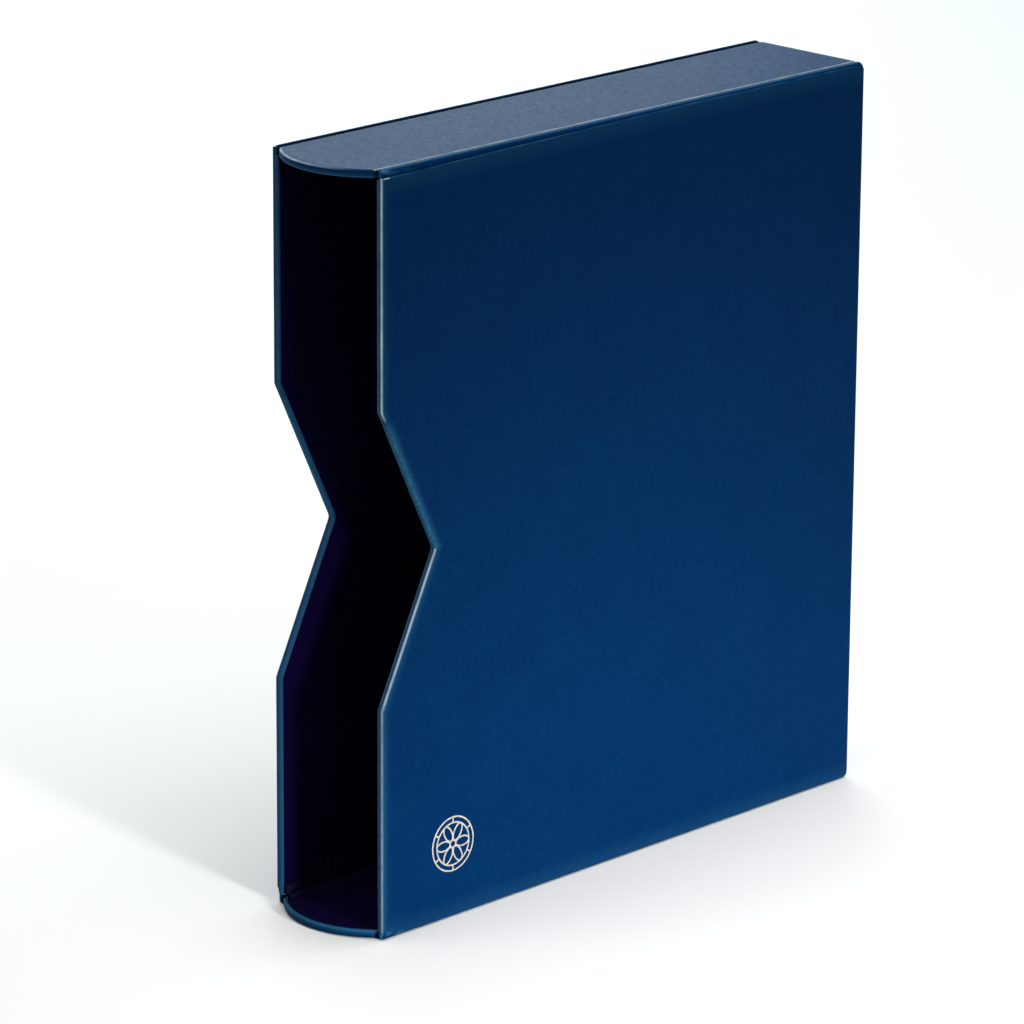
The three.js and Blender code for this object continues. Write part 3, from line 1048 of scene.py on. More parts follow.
@dataclass
class EdgeStrip:
    """One strip of leatherette over the bottom, the back and the top, with a bowed lip at each end.

    Attributes:
        case: Places of the case.
        ear: How far the strip is carried down the mouth edge of each side wall.
        thickness: Thickness of the sheet.
        back_radius: Radius of the rims' back corners.
        panel_radius: Radius of the panels' back corners.
        front_radius: Radius of the corners at the mouth.
        rim_round: Rounding of the rims, across and down.
        inner_arris: Radius where a rim turns into its groove.
        shoulder: Radius of the panels' edges.
        panel_inset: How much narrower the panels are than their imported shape.
        groove_depths: Depth of the right and the left groove.
        turn_over: How far the strip reaches under the side sheets.
        turn_in: How far the lips are turned in.
        end_round: Radius of the lips' ends.
        cover: Thickness of the side sheets that lie over it.
        pucker_reach: Height over which the mouth's corners are puckered.
        bulge: How far the lips stand out of the mouth.
        edge: Where the panels end, across the case.
    """

    case: CaseFrame
    ear: float = 9 * MM
    thickness: float = 0.45 * MM
    back_radius: float = 3 * MM
    panel_radius: float = 2 * MM
    front_radius: float = 1.2 * MM
    rim_round: Flat = (1.8 * MM, 1.9 * MM)
    inner_arris: float = 1.1 * MM
    shoulder: float = 1.1 * MM
    panel_inset: float = 0.25 * MM
    groove_depths: tuple[float, float] = (1.8 * MM, 0.8 * MM)
    turn_over: float = 8 * MM
    turn_in: float = 1.5 * MM
    end_round: float = 1.8 * MM
    cover: float = 0.45 * MM
    pucker_reach: float = 9 * MM
    bulge: float = field(init=False)
    edge: float = field(init=False)

    def __post_init__(self) -> None:
        """Work out how far the lips stand out of the mouth, and where the panels end."""
        self.bulge = self.case.mouth - self.case.lip_front
        self.edge = self.case.groove_in - self.panel_inset

    def _path(self, radius: float) -> RoundedPath:
        """The rim from the bottom of the mouth, round the back, to the top of the mouth.

        Args:
            radius: Radius of the back corners.

        Returns:
            The path.
        """
        c = self.case
        mouth = c.mouth + self.cover
        corners = (
            (mouth, self.ear, 0.0),
            (mouth, 0.0, self.front_radius),
            (c.back, 0.0, radius),
            (c.back, c.height, radius),
            (mouth, c.height, self.front_radius),
            (mouth, c.height - self.ear, 0.0),
        )
        depth = c.back - mouth
        ear = graded(self.ear, 0.8 * MM)
        runs = (ear, graded(depth, 4 * MM), graded(c.height, 4 * MM), graded(depth, 4 * MM), ear)
        return RoundedPath(corners, runs, bends=6)

    def _rim_profile(self) -> list[Solid]:
        """Draw the profile over one rim, from the turned-over end to the groove.

        Returns:
            Its points as (x, depth, mark): above 0 a painted highlight, below 0 painted shade.
        """
        c = self.case
        face = c.half_width - self.cover
        result: list[Solid] = [(face, d, 0.0) for d in (self.turn_over, 3.4 * MM, 2.6 * MM)]
        across, down = self.rim_round
        # Painted highlight: a dotted light line along the rim's crest.
        wear_and_light_steps = (0.0, 0.0, 0.0, 0.0, 0.0, 0.05, 0.35, 0.25, 0.0)
        for a, wear_and_painted_light in zip(quarter(len(wear_and_light_steps) - 1), wear_and_light_steps):
            result.append((face - across * (1 - math.cos(a)), down * (1 - math.sin(a)), wear_and_painted_light))
        start = c.groove_out + self.inner_arris
        # Painted shade, darker down the inner arris into the groove.
        for k, a in enumerate(quarter(5)):
            depth = self.inner_arris * (1 - math.cos(a))
            result.append((start - self.inner_arris * math.sin(a), depth, -min(0.3 * k, 1.0)))
        return result

    def _panel_profile(self) -> list[Solid]:
        """Draw the profile over the panel, from the right groove to the left.

        Returns:
            Its points as (x, depth, mark), where a mark below 0 is painted shade.
        """
        c = self.case
        # Painted shade all through the grooves.
        grooves = [
            [
                (c.groove_out - 0.08 * MM, depth - 0.25 * MM, -1.0),
                ((self.edge + c.groove_out) / 2, depth, -1.0),
                (self.edge + 0.08 * MM, depth - 0.25 * MM, -1.0),
            ]
            for depth in self.groove_depths
        ]
        half = [(self.edge - inset, depth, wear_and_painted_light) for inset, depth, wear_and_painted_light in self._shoulder()]
        flat = self.edge - self.shoulder
        half += [(flat * math.cos(a), c.panel_drop, 0.0) for a in quarter(14, first=1)[:-1]]
        near = grooves[0] + half
        far = [(-x, depth, wear_and_painted_light) for x, depth, wear_and_painted_light in reversed(grooves[1] + half)]
        return near + [(0.0, c.panel_drop, 0.0)] + far

    def _shoulder(self) -> list[Solid]:
        """Draw the rounded edge of the panel, from its side up to its top.

        Returns:
            Its points as (inset, depth, mark), where a mark below 0 is painted shade.
        """
        # Painted shade on the lower part of the panel's edge, beside the groove.
        wear_and_light_steps = (-1.0, -1.0, -1.0, -0.3, 0.0, 0.0)
        drop = self.case.panel_drop
        return [
            (self.shoulder * (1 - math.cos(a)), drop + self.shoulder * (1 - math.sin(a)), wear_and_painted_light)
            for a, wear_and_painted_light in zip(quarter(len(wear_and_light_steps) - 1), wear_and_light_steps)
        ]

    def _lip_radius(self) -> tuple[float, float]:
        """Radius of a lip's bow, and the place of its centre along y."""
        radius = (self.edge**2 + self.bulge**2) / (2 * self.bulge)
        return radius, self.case.mouth - self.bulge + radius

    def _bow(self, inset: float, share: float) -> Flat:
        """A point on the lip's bow.

        Args:
            inset: Distance inside the lip's edge.
            share: Place across the lip, from -1 to 1.

        Returns:
            The point as (x, y).
        """
        radius, centre = self._lip_radius()
        x = (self.edge - inset) * share
        end_x = self.edge - self.end_round
        if abs(x) > end_x * (radius - inset) / (radius - self.end_round):
            end_y = centre - math.sqrt((radius - self.end_round) ** 2 - end_x**2)
            out = min(abs(x) - end_x, self.end_round - inset)
            return x, end_y - math.sqrt((self.end_round - inset) ** 2 - out**2)
        return x, centre - math.sqrt((radius - inset) ** 2 - x**2)

    def _height(self, level: Level, depth: float) -> float:
        """Height of a point at a depth inside the top or bottom rims."""
        return self.case.height - depth if level is Level.TOP else depth

    def _lip(self, sheet: Sheet, level: Level, across: list[float]) -> None:
        """Build the lip at one end of the strip.

        Args:
            sheet: The strip.
            level: Top or bottom.
            across: Places of the panel's points across the strip.
        """
        c = self.case
        flat = self.edge - self.shoulder
        shares = [x / flat for x in across]
        start = self._bow(self.shoulder, 1.0)[1]
        edge = [self._bow(self.shoulder, s) for s in shares]
        z = self._height(level, c.panel_drop)
        last = sheet.row([(x, start, z) for x in across])
        for k in range(1, 6):
            row = sheet.row([(x, start + (e[1] - start) * k / 5, z) for x, e in zip(across, edge)])
            sheet.bridge(last, row)
            last = row
        steps = [(inset, depth, 0.0) for inset, depth, _ in reversed(self._shoulder())][1:]
        bottom = c.floor - self.shoulder
        # Painted highlight along the lip's lower arris.
        steps += [(0.0, (steps[-1][1] + bottom) / 2, 0.1)]
        for a, wear_and_painted_light in zip(quarter(5), (0.1, 0.4, 0.4, 0.4, 0.4, 0.1)):
            inset, depth = self.shoulder * (1 - math.cos(a)), bottom + self.shoulder * math.sin(a)
            steps.append((inset, depth, wear_and_painted_light))
        for k, (inset, depth, wear_and_painted_light) in enumerate(steps):
            # Painted highlight on the top lip's upper arris, fading towards the right.
            shine = 0.55 if level is Level.TOP and k < 3 else 0.0
            points = [(*self._bow(inset, s), self._height(level, depth)) for s in shares]
            row = sheet.row(points, wear_and_painted_light, [shine * clamped(0.75 - s) for s in shares])
            sheet.bridge(last, row)
            last = row
        z = self._height(level, c.floor)
        row = sheet.row([(*self._bow(self.turn_in, s), z) for s in shares])
        sheet.bridge(last, row)

    def build(self) -> bpy.types.Object:
        """Build the strip.

        Returns:
            The piece.
        """
        c = self.case
        sheet = Sheet("edge_strip", self.thickness)
        path = self._path(self.back_radius)
        panel_path = self._path(self.panel_radius)
        ears = len(path.runs[0]) + path.bends - 1
        rim = self._rim_profile()
        panel = self._panel_profile()
        total = len(path.points())
        first, final = ears, total - ears - 1
        columns = {}
        for sign in (1, -1):
            for k, (x, depth, wear_and_painted_light) in enumerate(rim):
                points = [self._ruffle(sign * x, y, z, x) for y, z in path.points(depth)]
                # Marks below 0 stay as painted shade; the rest may also take the scuffs on the puckers.
                wear_and_light_marks = [max(wear_and_painted_light, self._rub(*p)) if wear_and_painted_light >= 0 else wear_and_painted_light for p in points]
                columns[sign, k] = sheet.row(points, wear_and_light_marks)
            for k in range(len(rim) - 1):
                sheet.bridge(columns[sign, k], columns[sign, k + 1])
        middle = []
        mouth = c.mouth + 0.15 * MM
        for x, depth, wear_and_painted_light in panel:
            inset = self.edge - abs(x)
            front = self._bow(min(inset, self.shoulder), 1.0)[1] if inset >= 0 else mouth
            line = panel_path.points(depth)[first : final + 1]
            line[0] = (front, line[0][1])
            line[-1] = (front, line[-1][1])
            # Painted highlight along the panels' edges, strong on the top panel and faint elsewhere.
            shine = 0.55 if 0 <= inset < 0.8 * self.shoulder and wear_and_painted_light > -0.5 else 0.0
            highlight_values = [shine * (1.0 if z > c.height - 3 * MM else 0.1) for _, z in line]
            middle.append(sheet.row([(x, y, z) for y, z in line], wear_and_painted_light, highlight_values))
        for one, other in zip(middle, middle[1:]):
            sheet.bridge(one, other)
        sheet.bridge(columns[1, len(rim) - 1][first : final + 1], middle[0])
        sheet.bridge(middle[-1], columns[-1, len(rim) - 1][first : final + 1])
        across = [x for x, _, _ in panel if abs(x) <= self.edge - self.shoulder + WELD]
        for level in Level:
            self._lip(sheet, level, across)
        return sheet.build(Vector((0, 1, 0)))

    def _near_corner(self, y: float, z: float, reach: float) -> float:
        """How near a place is to a corner of the mouth, from 0 to 1, within `reach` along y."""
        end = min(z, self.case.height - z)
        return fade(y - self.case.mouth, reach) * fade(end, self.pucker_reach)

    def _rub(self, x: float, y: float, z: float) -> float:
        """How scuffed the puckers at the corners of the mouth are, from 0 to 1."""
        near = self._near_corner(y, z, 16 * MM)
        return 0.9 * near * clamped(3 * wave((x, y, z), 1.6 * MM, 7.0))

    def _ruffle(self, x: float, y: float, z: float, out: float) -> Solid:
        """Small puckers where the strip is folded round the corners of the mouth.

        Args:
            x: Place across the case.
            y: Place along the depth.
            z: Height.
            out: Distance from the middle of the case.

        Returns:
            The moved point.
        """
        c = self.case
        near = self._near_corner(y, z, 9 * MM)
        fold = wave((x, y, z), 2.2 * MM, 7.0) * 0.22 * MM * math.sqrt(near)
        calm = 0.04 * MM * wave((x, y, z), 14 * MM, 4.0)
        push = min(fold, 0.02 * MM) + calm if out > c.half_width - 1 * MM else 0.0
        drop = (abs(fold) + abs(calm)) * (1 if out < c.half_width - 0.5 * MM else 0)
        return x + math.copysign(min(push, 0.0), x), y, z - math.copysign(drop * 0.5, z - c.middle)


@dataclass
class NodeTree:
    """Builds one Geometry Nodes tree that makes a piece.

    Attributes:
        name: Name of the tree.
    """

    name: str

    def __post_init__(self) -> None:
        """Start an empty tree with its group input and output."""
        self.tree = bpy.data.node_groups.new(self.name, "GeometryNodeTree")
        self.tree.interface.new_socket("Geometry", in_out="OUTPUT", socket_type="NodeSocketGeometry")
        self.keys: dict[str, str] = {}
        self.source = self.tree.nodes.new("NodeGroupInput")
        self.sink = self.tree.nodes.new("NodeGroupOutput")

    def size(self, name: str, kind: str = "NodeSocketFloat") -> None:
        """Add a named input."""
        socket = self.tree.interface.new_socket(name, in_out="INPUT", socket_type=kind)
        self.keys[name] = socket.identifier

    def given(self, name: str) -> bpy.types.NodeSocket:
        """The socket of a named input."""
        return self.source.outputs[name]

    def add(self, kind: str, inputs: dict[str, object] | None = None, **settings: object) -> bpy.types.Node:
        """Add a node.

        Args:
            kind: The node's type, without its prefix where it is a geometry node.
            inputs: Values or sockets for its inputs, by name.
            **settings: Properties of the node.

        Returns:
            The node.
        """
        prefix = "" if kind.startswith(("Shader", "Function")) else "GeometryNode"
        node = self.tree.nodes.new(prefix + kind)
        for key, value in settings.items():
            setattr(node, key, value)
        for key, value in (inputs or {}).items():
            feed(self.tree, value, node.inputs[key])
        return node

    def sum(self, operation: str, one: object, other: object) -> bpy.types.NodeSocket:
        """One step of arithmetic.

        Args:
            operation: Blender's name for it.
            one: First socket or number.
            other: Second socket or number.

        Returns:
            The result.
        """
        node = self.add("ShaderNodeMath", operation=operation)
        for value, target in zip((one, other), node.inputs):
            feed(self.tree, value, target)
        return node.outputs[0]

    def vector(self, x: object = 0.0, y: object = 0.0, z: object = 0.0) -> bpy.types.NodeSocket:
        """A vector from sockets or numbers."""
        return self.add("ShaderNodeCombineXYZ", {"X": x, "Y": y, "Z": z}).outputs[0]

    def join(self, *parts: bpy.types.NodeSocket) -> bpy.types.NodeSocket:
        """Join several geometries."""
        node = self.add("JoinGeometry")
        for part in parts:
            self.tree.links.new(part, node.inputs[0])
        return node.outputs[0]

    def end(self, geometry: bpy.types.NodeSocket) -> None:
        """Realize the instances, set the material and close the tree."""
        real = self.add("RealizeInstances", {"Geometry": geometry}).outputs[0]
        dressed = self.add("SetMaterial", {"Geometry": real, "Material": self.given("Material")})
        self.tree.links.new(dressed.outputs[0], self.sink.inputs[0])

    def piece(self, name: str, sizes: dict[str, object], place: Matrix) -> bpy.types.Object:
        """Make one piece with the tree.

        Args:
            name: Name of the piece.
            sizes: Values for the named inputs.
            place: Where the piece goes.

        Returns:
            The piece, with its place in its mesh.
        """
        made = placed(name, bpy.data.meshes.new(name))
        modifier = made.modifiers.new("nodes", "NODES")
        modifier.node_group = self.tree
        for key, value in sizes.items():
            modifier[self.keys[key]] = value
        applied(made)
        made.data.transform(place)
        return made


@dataclass
class CornerTapes:
    """Cloth tape with a pinked edge, along the corners inside the case.

    Attributes:
        case: Places of the case.
        width: Width of the tape on each wall, teeth included.
        tooth: Length of a tooth.
        pitch: Distance from tooth to tooth.
        tooth_share: Width of a tooth at its middle, as a share of the pitch.
        taper: How much narrower a tooth is at its tip, as a share of its width.
        shortest: Length of the shortest tooth, as a share of the longest.
        thickness: Thickness of the tape.
        air: Space between the tape and the lining.
        lead: How far the band runs on past the teeth, towards the mouth.
        clear: Space between the ends of two tapes.
        seed: Seed for the teeth's lengths.
    """

    case: CaseFrame
    width: float = 11 * MM
    tooth: float = 7 * MM
    pitch: float = 4 * MM
    tooth_share: float = 0.8
    taper: float = 0.55
    shortest: float = 0.93
    thickness: float = 0.3 * MM
    air: float = 0.05 * MM
    lead: float = 9.5 * MM
    clear: float = 0.6 * MM
    seed: int = 11

    def _tree(self) -> NodeTree:
        """Build the tree: two legs at right angles, each a band with a row of teeth.

        Returns:
            The tree.
        """
        t = NodeTree("pinked_tape")
        for name in ("Length", "Band", "Tooth", "Pitch", "Thickness", "Band Start", "Band Length"):
            t.size(name)
        t.size("Seed", "NodeSocketInt")
        t.size("Material", "NodeSocketMaterial")
        length, band, tooth = t.given("Length"), t.given("Band"), t.given("Tooth")
        pitch, thick = t.given("Pitch"), t.given("Thickness")
        wide = t.sum("MULTIPLY", pitch, self.tooth_share)
        blank = t.add("MeshCube", {"Size": t.vector(wide, tooth, thick)})
        blank.inputs["Vertices Y"].default_value = 4
        where = t.add("InputPosition").outputs[0]
        parts = t.add("ShaderNodeSeparateXYZ", {"Vector": where})
        along = t.sum("ADD", t.sum("DIVIDE", parts.outputs["Y"], tooth), 0.5)
        narrow = t.sum("MULTIPLY", t.sum("MULTIPLY", parts.outputs["X"], along), -self.taper)
        shaped = t.add("SetPosition", {"Geometry": blank.outputs[0], "Offset": t.vector(narrow)})
        middle = t.sum("ADD", band, t.sum("MULTIPLY", tooth, 0.5))
        half = t.sum("MULTIPLY", thick, 0.5)
        start = t.vector(t.sum("MULTIPLY", pitch, 0.5), middle, half)
        count = t.sum("FLOOR", t.sum("DIVIDE", length, pitch), 0.0)
        row = t.add("MeshLine", {"Count": count, "Start Location": start, "Offset": t.vector(pitch)})
        uneven = t.add("FunctionNodeRandomValue", {"Seed": t.given("Seed")}, data_type="FLOAT")
        uneven.inputs[2].default_value = self.shortest
        uneven.inputs[3].default_value = 1.0
        scale = t.vector(1.0, uneven.outputs[1], 1.0)
        spread = {"Points": row.outputs[0], "Instance": shaped.outputs[0], "Scale": scale}
        teeth = t.add("InstanceOnPoints", spread)
        run = t.given("Band Length")
        strip = t.add("MeshCube", {"Size": t.vector(run, band, thick)})
        reach = t.sum("ADD", t.given("Band Start"), t.sum("MULTIPLY", run, 0.5))
        centre = t.vector(reach, t.sum("MULTIPLY", band, 0.5), half)
        laid = t.add("Transform", {"Geometry": strip.outputs[0], "Translation": centre})
        leg = t.join(laid.outputs[0], teeth.outputs[0])
        other = t.add("Transform", {"Geometry": leg, "Translation": t.vector(0.0, thick)})
        other.inputs["Rotation"].default_value = (math.pi / 2, 0, 0)
        t.end(t.join(leg, other.outputs[0]))
        return t

    def build(self, look: bpy.types.Material) -> None:
        """Build and finish the eight tapes.

        Args:
            look: Material of the tape.
        """
        c = self.case
        tree = self._tree()
        x, back = c.inner - self.air, c.back_inner - self.air
        low, high = c.floor + self.air, c.height - c.floor - self.air
        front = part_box("right_bottom_tape")[0].y
        inset = self.width + self.clear
        starts = {"right_bottom": -self.lead, "left_top": -self.lead, "left_bottom": 0.0, "right_top": 0.0}
        ways = {
            "right_bottom": ((x, front, low), (0, 1, 0), (-1, 0, 0), back - front),
            "left_bottom": ((-x, back, low), (0, -1, 0), (1, 0, 0), back - front),
            "right_top": ((x, back, high), (0, -1, 0), (-1, 0, 0), back - front),
            "left_top": ((-x, front, high), (0, 1, 0), (1, 0, 0), back - front),
            "right_back": ((x, back, high - inset), (0, 0, -1), (0, -1, 0), high - low - 2 * inset),
            "left_back": ((-x, back, low + inset), (0, 0, 1), (0, -1, 0), high - low - 2 * inset),
            "bottom_back": ((x - inset, back, low), (-1, 0, 0), (0, -1, 0), 2 * (x - inset)),
            "top_back": ((inset - x, back, high), (1, 0, 0), (0, -1, 0), 2 * (x - inset)),
        }
        for name, (corner, along, away, length) in ways.items():
            ex, ey = Vector(along), Vector(away)
            place = Matrix((ex, ey, ex.cross(ey))).transposed().to_4x4()
            place.translation = corner
            sizes = {
                "Length": length,
                "Band Start": starts.get(name, 0.0),
                "Band Length": length + (self.lead if name in starts else 0.0),
                "Band": self.width - self.tooth,
                "Tooth": self.tooth,
                "Pitch": self.pitch,
                "Thickness": self.thickness,
                "Seed": self.seed,
                "Material": look,
            }
            tape = tree.piece(f"{name}_pinked_tape", sizes, place)
            claim(tape, (f"{name}_tape",), [look])


@dataclass
class Emblem:
    """A round foil medallion: two rings joined by bars, and a rosette round a small eye.

    Attributes:
        case: Places of the case.
        radius: Outer radius.
        line: Width of its lines.
        ring_step: Distance between the two rings.
        petals: Number of petals.
        petal_half: Half the width of a petal.
        eye: Radius of the eye.
        half_height: Half the height of the lines.
        proud: How far they stand out of the leatherette.
        hollow: How far the leatherette lies inside its packed face.
        round_steps: Sides of the outer ring, the inner ring, the eye, a petal and a line.
    """

    case: CaseFrame
    radius: float = 12 * MM
    line: float = 0.9 * MM
    ring_step: float = 2.4 * MM
    petals: int = 6
    petal_half: float = 2 * MM
    eye: float = 1.6 * MM
    half_height: float = 0.11 * MM
    proud: float = 0.02 * MM
    hollow: float = 0.06 * MM
    round_steps: tuple[int, int, int, int, int] = (72, 64, 20, 32, 8)

    def _tree(self) -> NodeTree:
        """Build the tree: rings, and petals and bars set round the middle.

        Returns:
            The tree.
        """
        t = NodeTree("foil_medallion")
        for name in ("Outer", "Inner", "Eye", "Line", "Petal Width", "Half Height"):
            t.size(name)
        t.size("Petals", "NodeSocketInt")
        t.size("Material", "NodeSocketMaterial")
        outer, inner, eye = t.given("Outer"), t.given("Inner"), t.given("Eye")
        outer_steps, inner_steps, eye_steps, petal_steps, line_sides = self.round_steps
        half_line = t.sum("MULTIPLY", t.given("Line"), 0.5)
        thread = t.add("CurvePrimitiveCircle", {"Radius": half_line})
        thread.inputs["Resolution"].default_value = line_sides

        def tube(curve: bpy.types.NodeSocket, capped: bool = False) -> bpy.types.NodeSocket:
            """Give a curve the width of a line."""
            values = {"Curve": curve, "Profile Curve": thread.outputs[0], "Fill Caps": capped}
            return t.add("CurveToMesh", values).outputs[0]

        def ring(radius: object, steps: int) -> bpy.types.NodeSocket:
            """A circle round the middle."""
            circle = t.add("CurvePrimitiveCircle", {"Radius": radius})
            circle.inputs["Resolution"].default_value = steps
            return circle.outputs[0]

        reach = t.sum("MULTIPLY", t.sum("SUBTRACT", inner, eye), 0.5)
        unit = ring(1.0, petal_steps)
        oval_size = t.vector(reach, t.given("Petal Width"), 1.0)
        oval = t.add("Transform", {"Geometry": unit, "Scale": oval_size})
        distance = t.sum("MULTIPLY", t.sum("ADD", inner, eye), 0.5)
        moved = t.add("Transform", {"Geometry": oval.outputs[0], "Translation": t.vector(distance)})
        bar = t.add("CurvePrimitiveLine", {"Start": t.vector(inner), "End": t.vector(outer)})
        turn = t.sum("DIVIDE", 2 * math.pi, t.given("Petals"))
        number = t.add("InputIndex").outputs[0]
        spots = t.add("MeshLine", {"Count": t.given("Petals")})
        spots.inputs["Offset"].default_value = (0, 0, 0)

        def around(item: bpy.types.NodeSocket, shift: float) -> bpy.types.NodeSocket:
            """Set an item round the middle once for each petal."""
            angle = t.sum("MULTIPLY", t.sum("ADD", number, shift), turn)
            turned = t.vector(0.0, 0.0, angle)
            values = {"Points": spots.outputs[0], "Instance": item, "Rotation": turned}
            return t.add("InstanceOnPoints", values).outputs[0]

        whole = t.join(
            tube(ring(outer, outer_steps)),
            tube(ring(inner, inner_steps)),
            tube(ring(eye, eye_steps)),
            around(tube(moved.outputs[0]), 0.0),
            around(tube(bar.outputs[0], True), 0.5),
        )
        real = t.add("RealizeInstances", {"Geometry": whole}).outputs[0]
        flat = t.vector(1.0, 1.0, t.sum("DIVIDE", t.given("Half Height"), half_line))
        t.end(t.add("Transform", {"Geometry": real, "Scale": flat}).outputs[0])
        return t

    def build(self, look: bpy.types.Material) -> None:
        """Build and finish the medallion.

        Args:
            look: Material of the foil.
        """
        low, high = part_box("emblem_foil")
        outer = self.radius - self.line / 2
        sizes = {
            "Outer": outer,
            "Inner": outer - self.ring_step,
            "Eye": self.eye,
            "Line": self.line,
            "Petal Width": self.petal_half,
            "Half Height": self.half_height,
            "Petals": self.petals,
            "Material": look,
        }
        place = Matrix(((0, 1, 0), (0, 0, 1), (1, 0, 0))).transposed().to_4x4()
        sunk = self.case.half_width - self.hollow + self.proud - self.half_height / 2
        place.translation = (sunk, (low.y + high.y) / 2, (low.z + high.z) / 2)
        medallion = self._tree().piece("foil_medallion", sizes, place)
        claim(medallion, ("emblem_foil",), [look])


@dataclass
class InnerParts:
    """The boards and linings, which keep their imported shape.

    Attributes:
        nodes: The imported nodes, by name.
    """

    nodes: dict[str, bpy.types.Object]

    def dress(self, board: bpy.types.Material, lining: bpy.types.Material) -> None:
        """Give the kept nodes their finish.

        Args:
            board: Material of the grey boards.
            lining: Material of the linings.
        """
        looks = {"board": board, "lining": lining}
        for name, node in self.nodes.items():
            look = looks.get(name.rsplit("_", 1)[-1])
            if look:
                node.data.materials.clear()
                node.data.materials.append(look)
                LOG.info("%s: kept, in %s", name, look.name)


# ---------------------------------------------------------------------------------------- studio


@dataclass
class Light:
    """A light that faces a point.

    Attributes:
        name: Name of the light.
        at: Its place in metres.
        aim: The point that it faces.
    """

    name: str
    at: Solid
    aim: Solid

    def place(self, data: bpy.types.Light) -> None:
        """Put the light in the scene, facing its point.

        Args:
            data: Its shape, power and colour.
        """
        light = placed(self.name, data)
        light.location = self.at
        light.rotation_mode = "QUATERNION"
        light.rotation_quaternion = (Vector(self.aim) - Vector(self.at)).to_track_quat("-Z", "Y")


@dataclass
class Lamp(Light):
    """One soft rectangular lamp.

    Attributes:
        size: Its width and height.
        power: Its power in watts.
        tint: Its colour.
    """

    size: Flat
    power: float
    tint: Solid = (1.0, 1.0, 1.0)

    def build(self) -> None:
        """Build the lamp."""
        data = bpy.data.lights.new(self.name, "AREA")
        data.shape = "RECTANGLE"
        data.size, data.size_y = self.size
        data.energy = self.power
        data.color = self.tint
        self.place(data)


@dataclass
class Spot(Light):
    """One wide spot with a soft edge.

    Attributes:
        cone: Full angle of its beam in degrees.
        power: Its power in watts.
        softness: Radius of the light itself, which softens its shadows.
    """

    cone: float
    power: float
    softness: float = 0.15

    def build(self) -> None:
        """Build the spot."""
        data = bpy.data.lights.new(self.name, "SPOT")
        data.spot_size = math.radians(self.cone)
        data.spot_blend = 1.0
        data.shadow_soft_size = self.softness
        data.energy = self.power
        self.place(data)


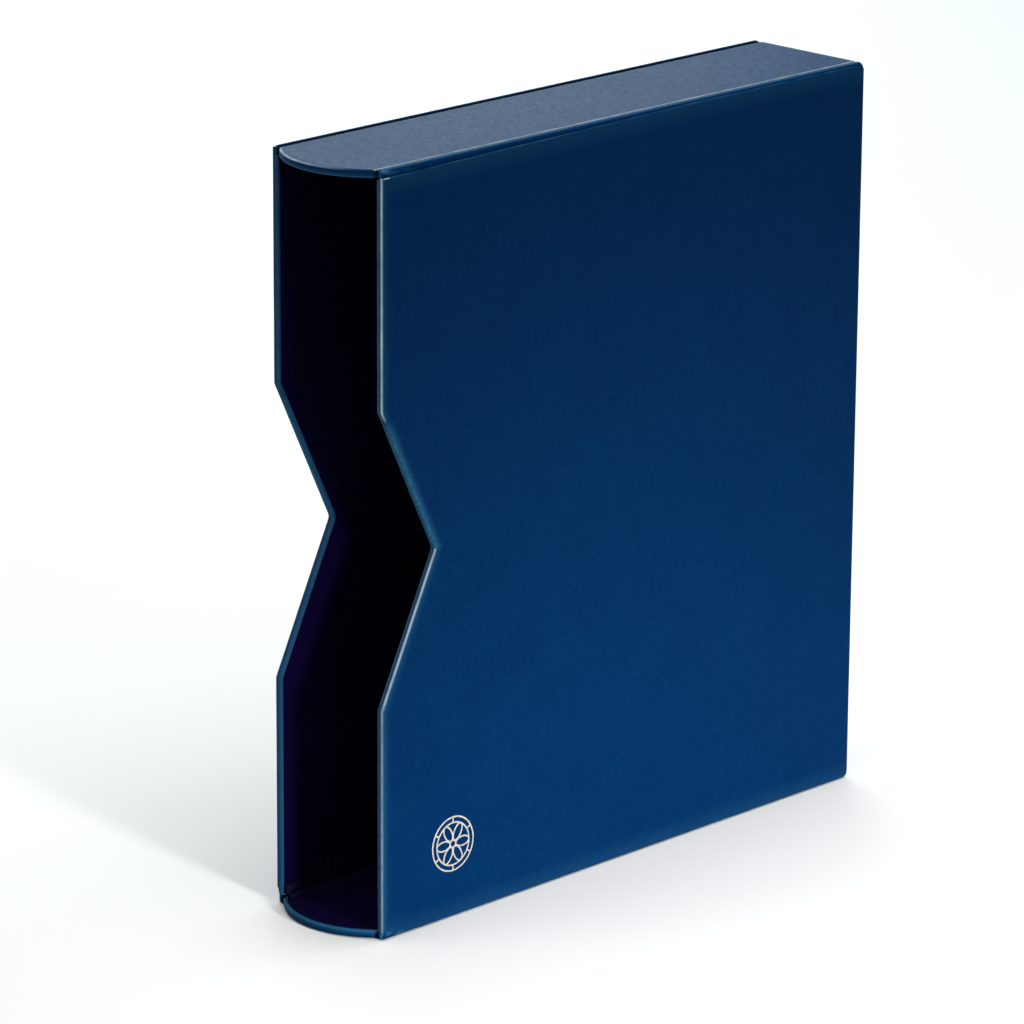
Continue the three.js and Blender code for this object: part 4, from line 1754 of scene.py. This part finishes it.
@dataclass
class Studio:
    """The camera, the pale floor and the soft lights.

    Attributes:
        case: Places of the case.
        azimuth: Camera's heading round the case, in degrees.
        elevation: Camera's height above the horizon, in degrees.
        roll: Camera's turn about its own axis, in degrees.
        distance: Camera to target.
        lens: Focal length in millimetres.
        shift_right: Target's distance to the right of the case's middle.
        shift_up: Target's distance above it.
        sensor: Width of the camera's sensor in millimetres.
        floor_reach: Half the floor's width.
        floor_drop: How far the floor lies below the case, to keep the faces apart.
        glow: Strength of the even background light.
        lamps: The lights.
    """

    case: CaseFrame
    azimuth: float = 44.59
    elevation: float = 17.0
    roll: float = 0.36
    distance: float = 2.38
    lens: float = 201.1
    shift_right: float = -22.23 * MM
    shift_up: float = -13.54 * MM
    sensor: float = 36.0
    floor_reach: float = 6.0
    floor_drop: float = 0.02 * MM
    glow: float = 0.22
    lamps: tuple[Lamp | Spot, ...] = (
        Lamp("overhead_softbox", (0.1, 0.3, 1.9), (0.0, 0.25, 0.0), (2.2, 2.2), 62.0),
        Lamp(
            "left_back_softbox", (-1.75, 1.05, 0.75), (0.0, -0.1, 0.25), (1.5, 1.0), 24.0, (0.8, 1.0, 1.0)
        ),
        Spot("low_right_spot", (1.6, -0.3, 0.4), (0.03, 0.0, -0.11), 28.0, 190.0),
        Lamp("front_left_fill", (-1.2, -1.8, 0.9), (0.0, 0.0, 0.15), (1.0, 1.0), 7.0),
    )

    def camera(self) -> None:
        """Place the camera at the viewing angle."""
        az, el, roll = (math.radians(a) for a in (self.azimuth, self.elevation, self.roll))
        away = Vector((math.sin(az) * math.cos(el), -math.cos(az) * math.cos(el), math.sin(el)))
        right = Vector((math.cos(az), math.sin(az), 0.0))
        up = away.cross(right)
        right, up = (
            math.cos(roll) * right + math.sin(roll) * up,
            -math.sin(roll) * right + math.cos(roll) * up,
        )
        target = Vector((0, 0, self.case.middle)) + self.shift_right * right + self.shift_up * up
        data = bpy.data.cameras.new("camera")
        data.sensor_width = self.sensor
        data.lens = self.lens
        data.clip_start, data.clip_end = 0.05, 50.0
        camera = placed("camera", data)
        turn = Matrix((right, up, away)).transposed()
        camera.rotation_mode = "QUATERNION"
        camera.rotation_quaternion = turn.to_quaternion()
        camera.location = target + away * self.distance
        bpy.context.scene.camera = camera

    def floor(self, look: bpy.types.Material) -> None:
        """Lay the floor.

        Args:
            look: Material of the floor.
        """
        mesh = bpy.data.meshes.new("floor")
        r, z = self.floor_reach, -self.floor_drop
        mesh.from_pydata([(-r, -r, z), (r, -r, z), (r, r, z), (-r, r, z)], [], [(0, 1, 2, 3)])
        mesh.materials.append(look)
        placed("floor", mesh)

    def light(self) -> None:
        """Set the lamps and the even background light."""
        for lamp in self.lamps:
            lamp.build()
        world = bpy.data.worlds.new("studio")
        world.use_nodes = True
        back = world.node_tree.nodes["Background"]
        back.inputs["Color"].default_value = (1.0, 1.0, 1.0, 1.0)
        back.inputs["Strength"].default_value = self.glow
        bpy.context.scene.world = world
        bpy.context.scene.view_settings.view_transform = "Standard"


# ------------------------------------------------------------------------------------------ main


def main() -> None:
    """Build the scene, piece by piece."""
    logging.basicConfig(level=logging.INFO, format="%(name)s: %(message)s")
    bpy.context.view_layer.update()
    case = CaseFrame.read()
    studio = Studio(case)
    studio.camera()
    leatherette = Leatherette().material()
    cut_edge = CutEdge().material()
    for side, low, high in ((Side.RIGHT, 3.6 * MM, 3.2 * MM), (Side.LEFT, 7 * MM, 0.9 * MM)):
        wrap = SideWrap(case, side, low, high).build()
        claim(wrap, (f"{side.name.lower()}_side_cover",), [leatherette, cut_edge])
    strip = EdgeStrip(case).build()
    claim(strip, ("bottom_cover", "back_cover", "top_cover"), [leatherette, cut_edge])
    tape = Paper(
        "corner_cloth_tape",
        dark=(0.0026, 0.002, 0.014, 1),
        light=(0.007, 0.0065, 0.031, 1),
        fibre=0.5 * MM,
        depth=0.08 * MM,
        shine=0.05,
    )
    CornerTapes(case).build(tape.material())
    Emblem(case).build(Foil().material())
    board = Paper("grey_board", (0.14, 0.13, 0.115, 1), (0.27, 0.25, 0.22, 1), 0.6 * MM, (1, 0.35, 1))
    lining = Paper(
        "lining_paper",
        dark=(0.001, 0.0001, 0.0105, 1),
        light=(0.0024, 0.0004, 0.0195, 1),
        fibre=0.5 * MM,
        roughness=0.9,
        shine=0.03,
    )
    InnerParts(frame["nodes"]).dress(board.material(), lining.material())
    studio.floor(Backdrop().material())
    studio.light()


if __name__ == "__main__":
    main()
